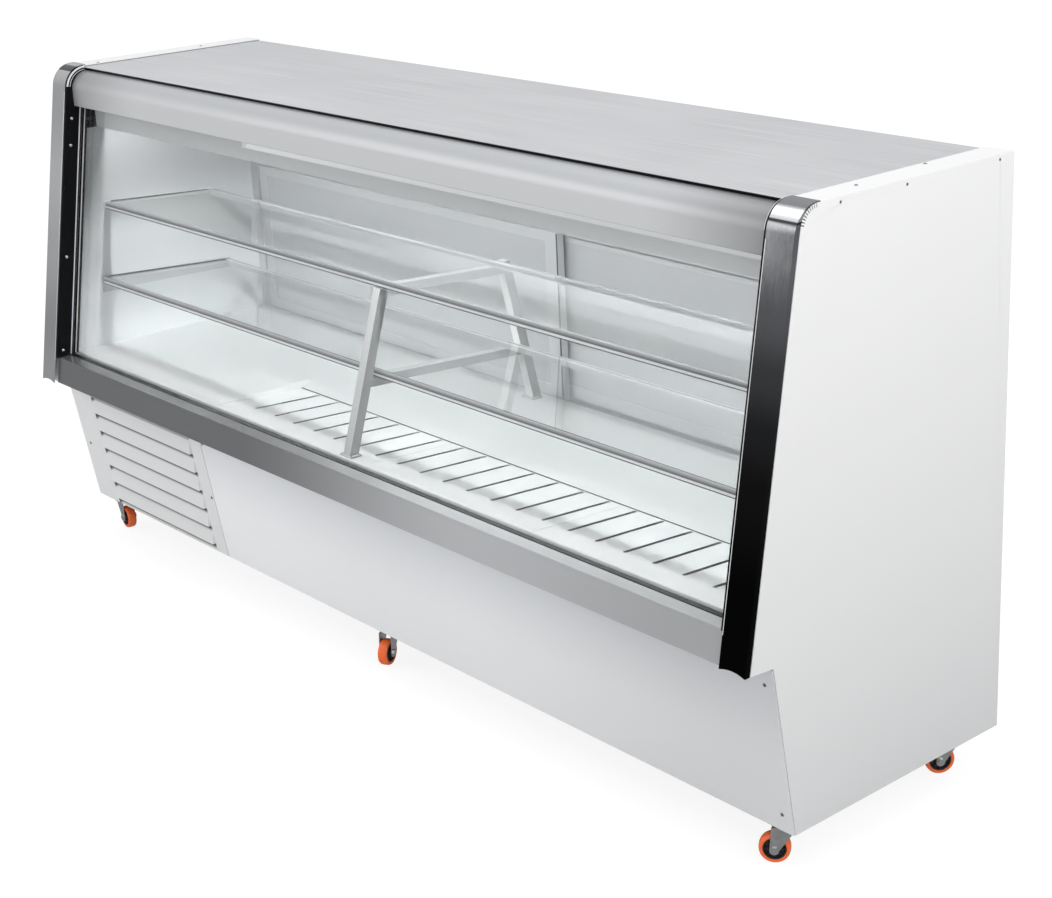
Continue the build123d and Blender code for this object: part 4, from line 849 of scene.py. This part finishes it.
def floor_material():
    """Pale floor: nearly white to the camera, dim to shiny pieces, and shadowed by the case."""
    finish = Finish("studio_floor", (0.93, 0.93, 0.93), 0.7)
    finish.paint(finish.blend(finish.noise(0.6, 3), (0.92, 0.92, 0.92), (0.94, 0.94, 0.94)))
    rays = finish.add("ShaderNodeLightPath").outputs
    lit = mix_shaders(finish.tree, rays["Is Glossy Ray"], finish.shader.outputs["BSDF"],
                      glow(finish, DIM_ROOM))
    share = finish.math("MULTIPLY", rays["Is Camera Ray"], FLOOR_GLOW_SHARE)
    finish.show(mix_shaders(finish.tree, share, lit, glow(finish, (FLOOR_GLOW,) * 3)))
    return finish.material


floor_shape = bmesh.new()
bmesh.ops.create_grid(floor_shape, x_segments=8, y_segments=8, size=40)
floor_mesh = bpy.data.meshes.new("studio_floor")
floor_shape.to_mesh(floor_mesh)
floor_shape.free()
floor_mesh.materials.append(floor_material())
floor = bpy.data.objects.new("studio_floor", floor_mesh)
bpy.context.scene.collection.objects.link(floor)


def softbox(name, place, target, size, watts):
    """Rectangular area light aimed at a point."""
    light = bpy.data.lights.new(name, "AREA")
    light.shape = "RECTANGLE"
    light.size, light.size_y = size
    light.energy = watts
    holder = bpy.data.objects.new(name, light)
    bpy.context.scene.collection.objects.link(holder)
    holder.location = place
    holder.rotation_euler = (Vector(target) - Vector(place)).to_track_quat("-Z", "Y").to_euler()
    return light


def strip_light(name, place, watts, spread):
    """Long light that shines down inside the case, under its lamp tubes."""
    light = softbox(name, place, place - Z_AXIS * 0.5 + Y_AXIS * 0.12, (2.3, 0.02), watts)
    light.spread = radians(spread)


MIDDLE = (0, 0, 0.7)
LAMP_LOW, LAMP_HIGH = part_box("light_tubes")
LAMP_PLACE = Vector((0, (LAMP_LOW.y + LAMP_HIGH.y) / 2, LAMP_LOW.z - 0.004))
strip_light("case_lamps", LAMP_PLACE, 18, 180)
strip_light("lamp_reflectors", LAMP_PLACE - Z_AXIS * 0.001, 8, 80)
softbox("key", (5.8, -2.6, 3.6), MIDDLE, (3.5, 3.5), 60)
softbox("fill", (-4.5, -4.5, 2.6), MIDDLE, (3.0, 3.0), 35)
softbox("overhead", (0, -0.6, 4.6), MIDDLE, (5.0, 2.5), 45)
softbox("rear", (1.0, 5.0, 3.2), MIDDLE, (4.0, 2.5), 20)

ROOM = ((0.0, DIM_ROOM), (0.50, (0.32, 0.325, 0.34)), (0.60, (0.60, 0.61, 0.63)),
        (0.80, (0.92, 0.93, 0.95)))     # from straight down to well above the horizon
world = bpy.data.worlds.new("studio")
scene = bpy.context.scene
scene.world = world
world.use_nodes = True
tree = world.node_tree
daylight = tree.nodes["Background"]
daylight.inputs["Color"].default_value = (1, 1, 1, 1)
daylight.inputs["Strength"].default_value = DAYLIGHT
parts = tree.nodes.new("ShaderNodeSeparateXYZ")
tree.links.new(tree.nodes.new("ShaderNodeTexCoord").outputs["Generated"], parts.inputs["Vector"])
height = tree.nodes.new("ShaderNodeMapRange")
tree.links.new(parts.outputs["Z"], height.inputs["Value"])
height.inputs["From Min"].default_value = -1
ramp = tree.nodes.new("ShaderNodeValToRGB")
for i, (position, colour) in enumerate(ROOM):
    stop = ramp.color_ramp.elements[i] if i < 2 else ramp.color_ramp.elements.new(position)
    stop.position = position
    stop.color = (*colour, 1)
room = tree.nodes.new("ShaderNodeBackground")
tree.links.new(height.outputs["Result"], ramp.inputs["Fac"])
tree.links.new(ramp.outputs["Color"], room.inputs["Color"])
backdrop = tree.nodes.new("ShaderNodeBackground")
backdrop.inputs["Color"].default_value = (1, 1, 1, 1)
rays = tree.nodes.new("ShaderNodeLightPath").outputs
around = mix_shaders(tree, rays["Is Glossy Ray"], daylight.outputs["Background"],
                     room.outputs["Background"])
seen = mix_shaders(tree, rays["Is Camera Ray"], around, backdrop.outputs["Background"])
tree.links.new(seen, tree.nodes["World Output"].inputs["Surface"])

scene.view_settings.view_transform = "Standard"

camera_data = bpy.data.cameras.new("camera")
camera_data.sensor_width = 36
camera_data.lens = 68.3
camera_data.shift_x = -0.0418
camera_data.shift_y = -0.0466
camera = bpy.data.objects.new("camera", camera_data)
scene.collection.objects.link(camera)
camera.location = (3.5725, -2.698, 2.0739)
camera.rotation_euler = (radians(71.579), radians(2.282), radians(48.451))
scene.camera = camera
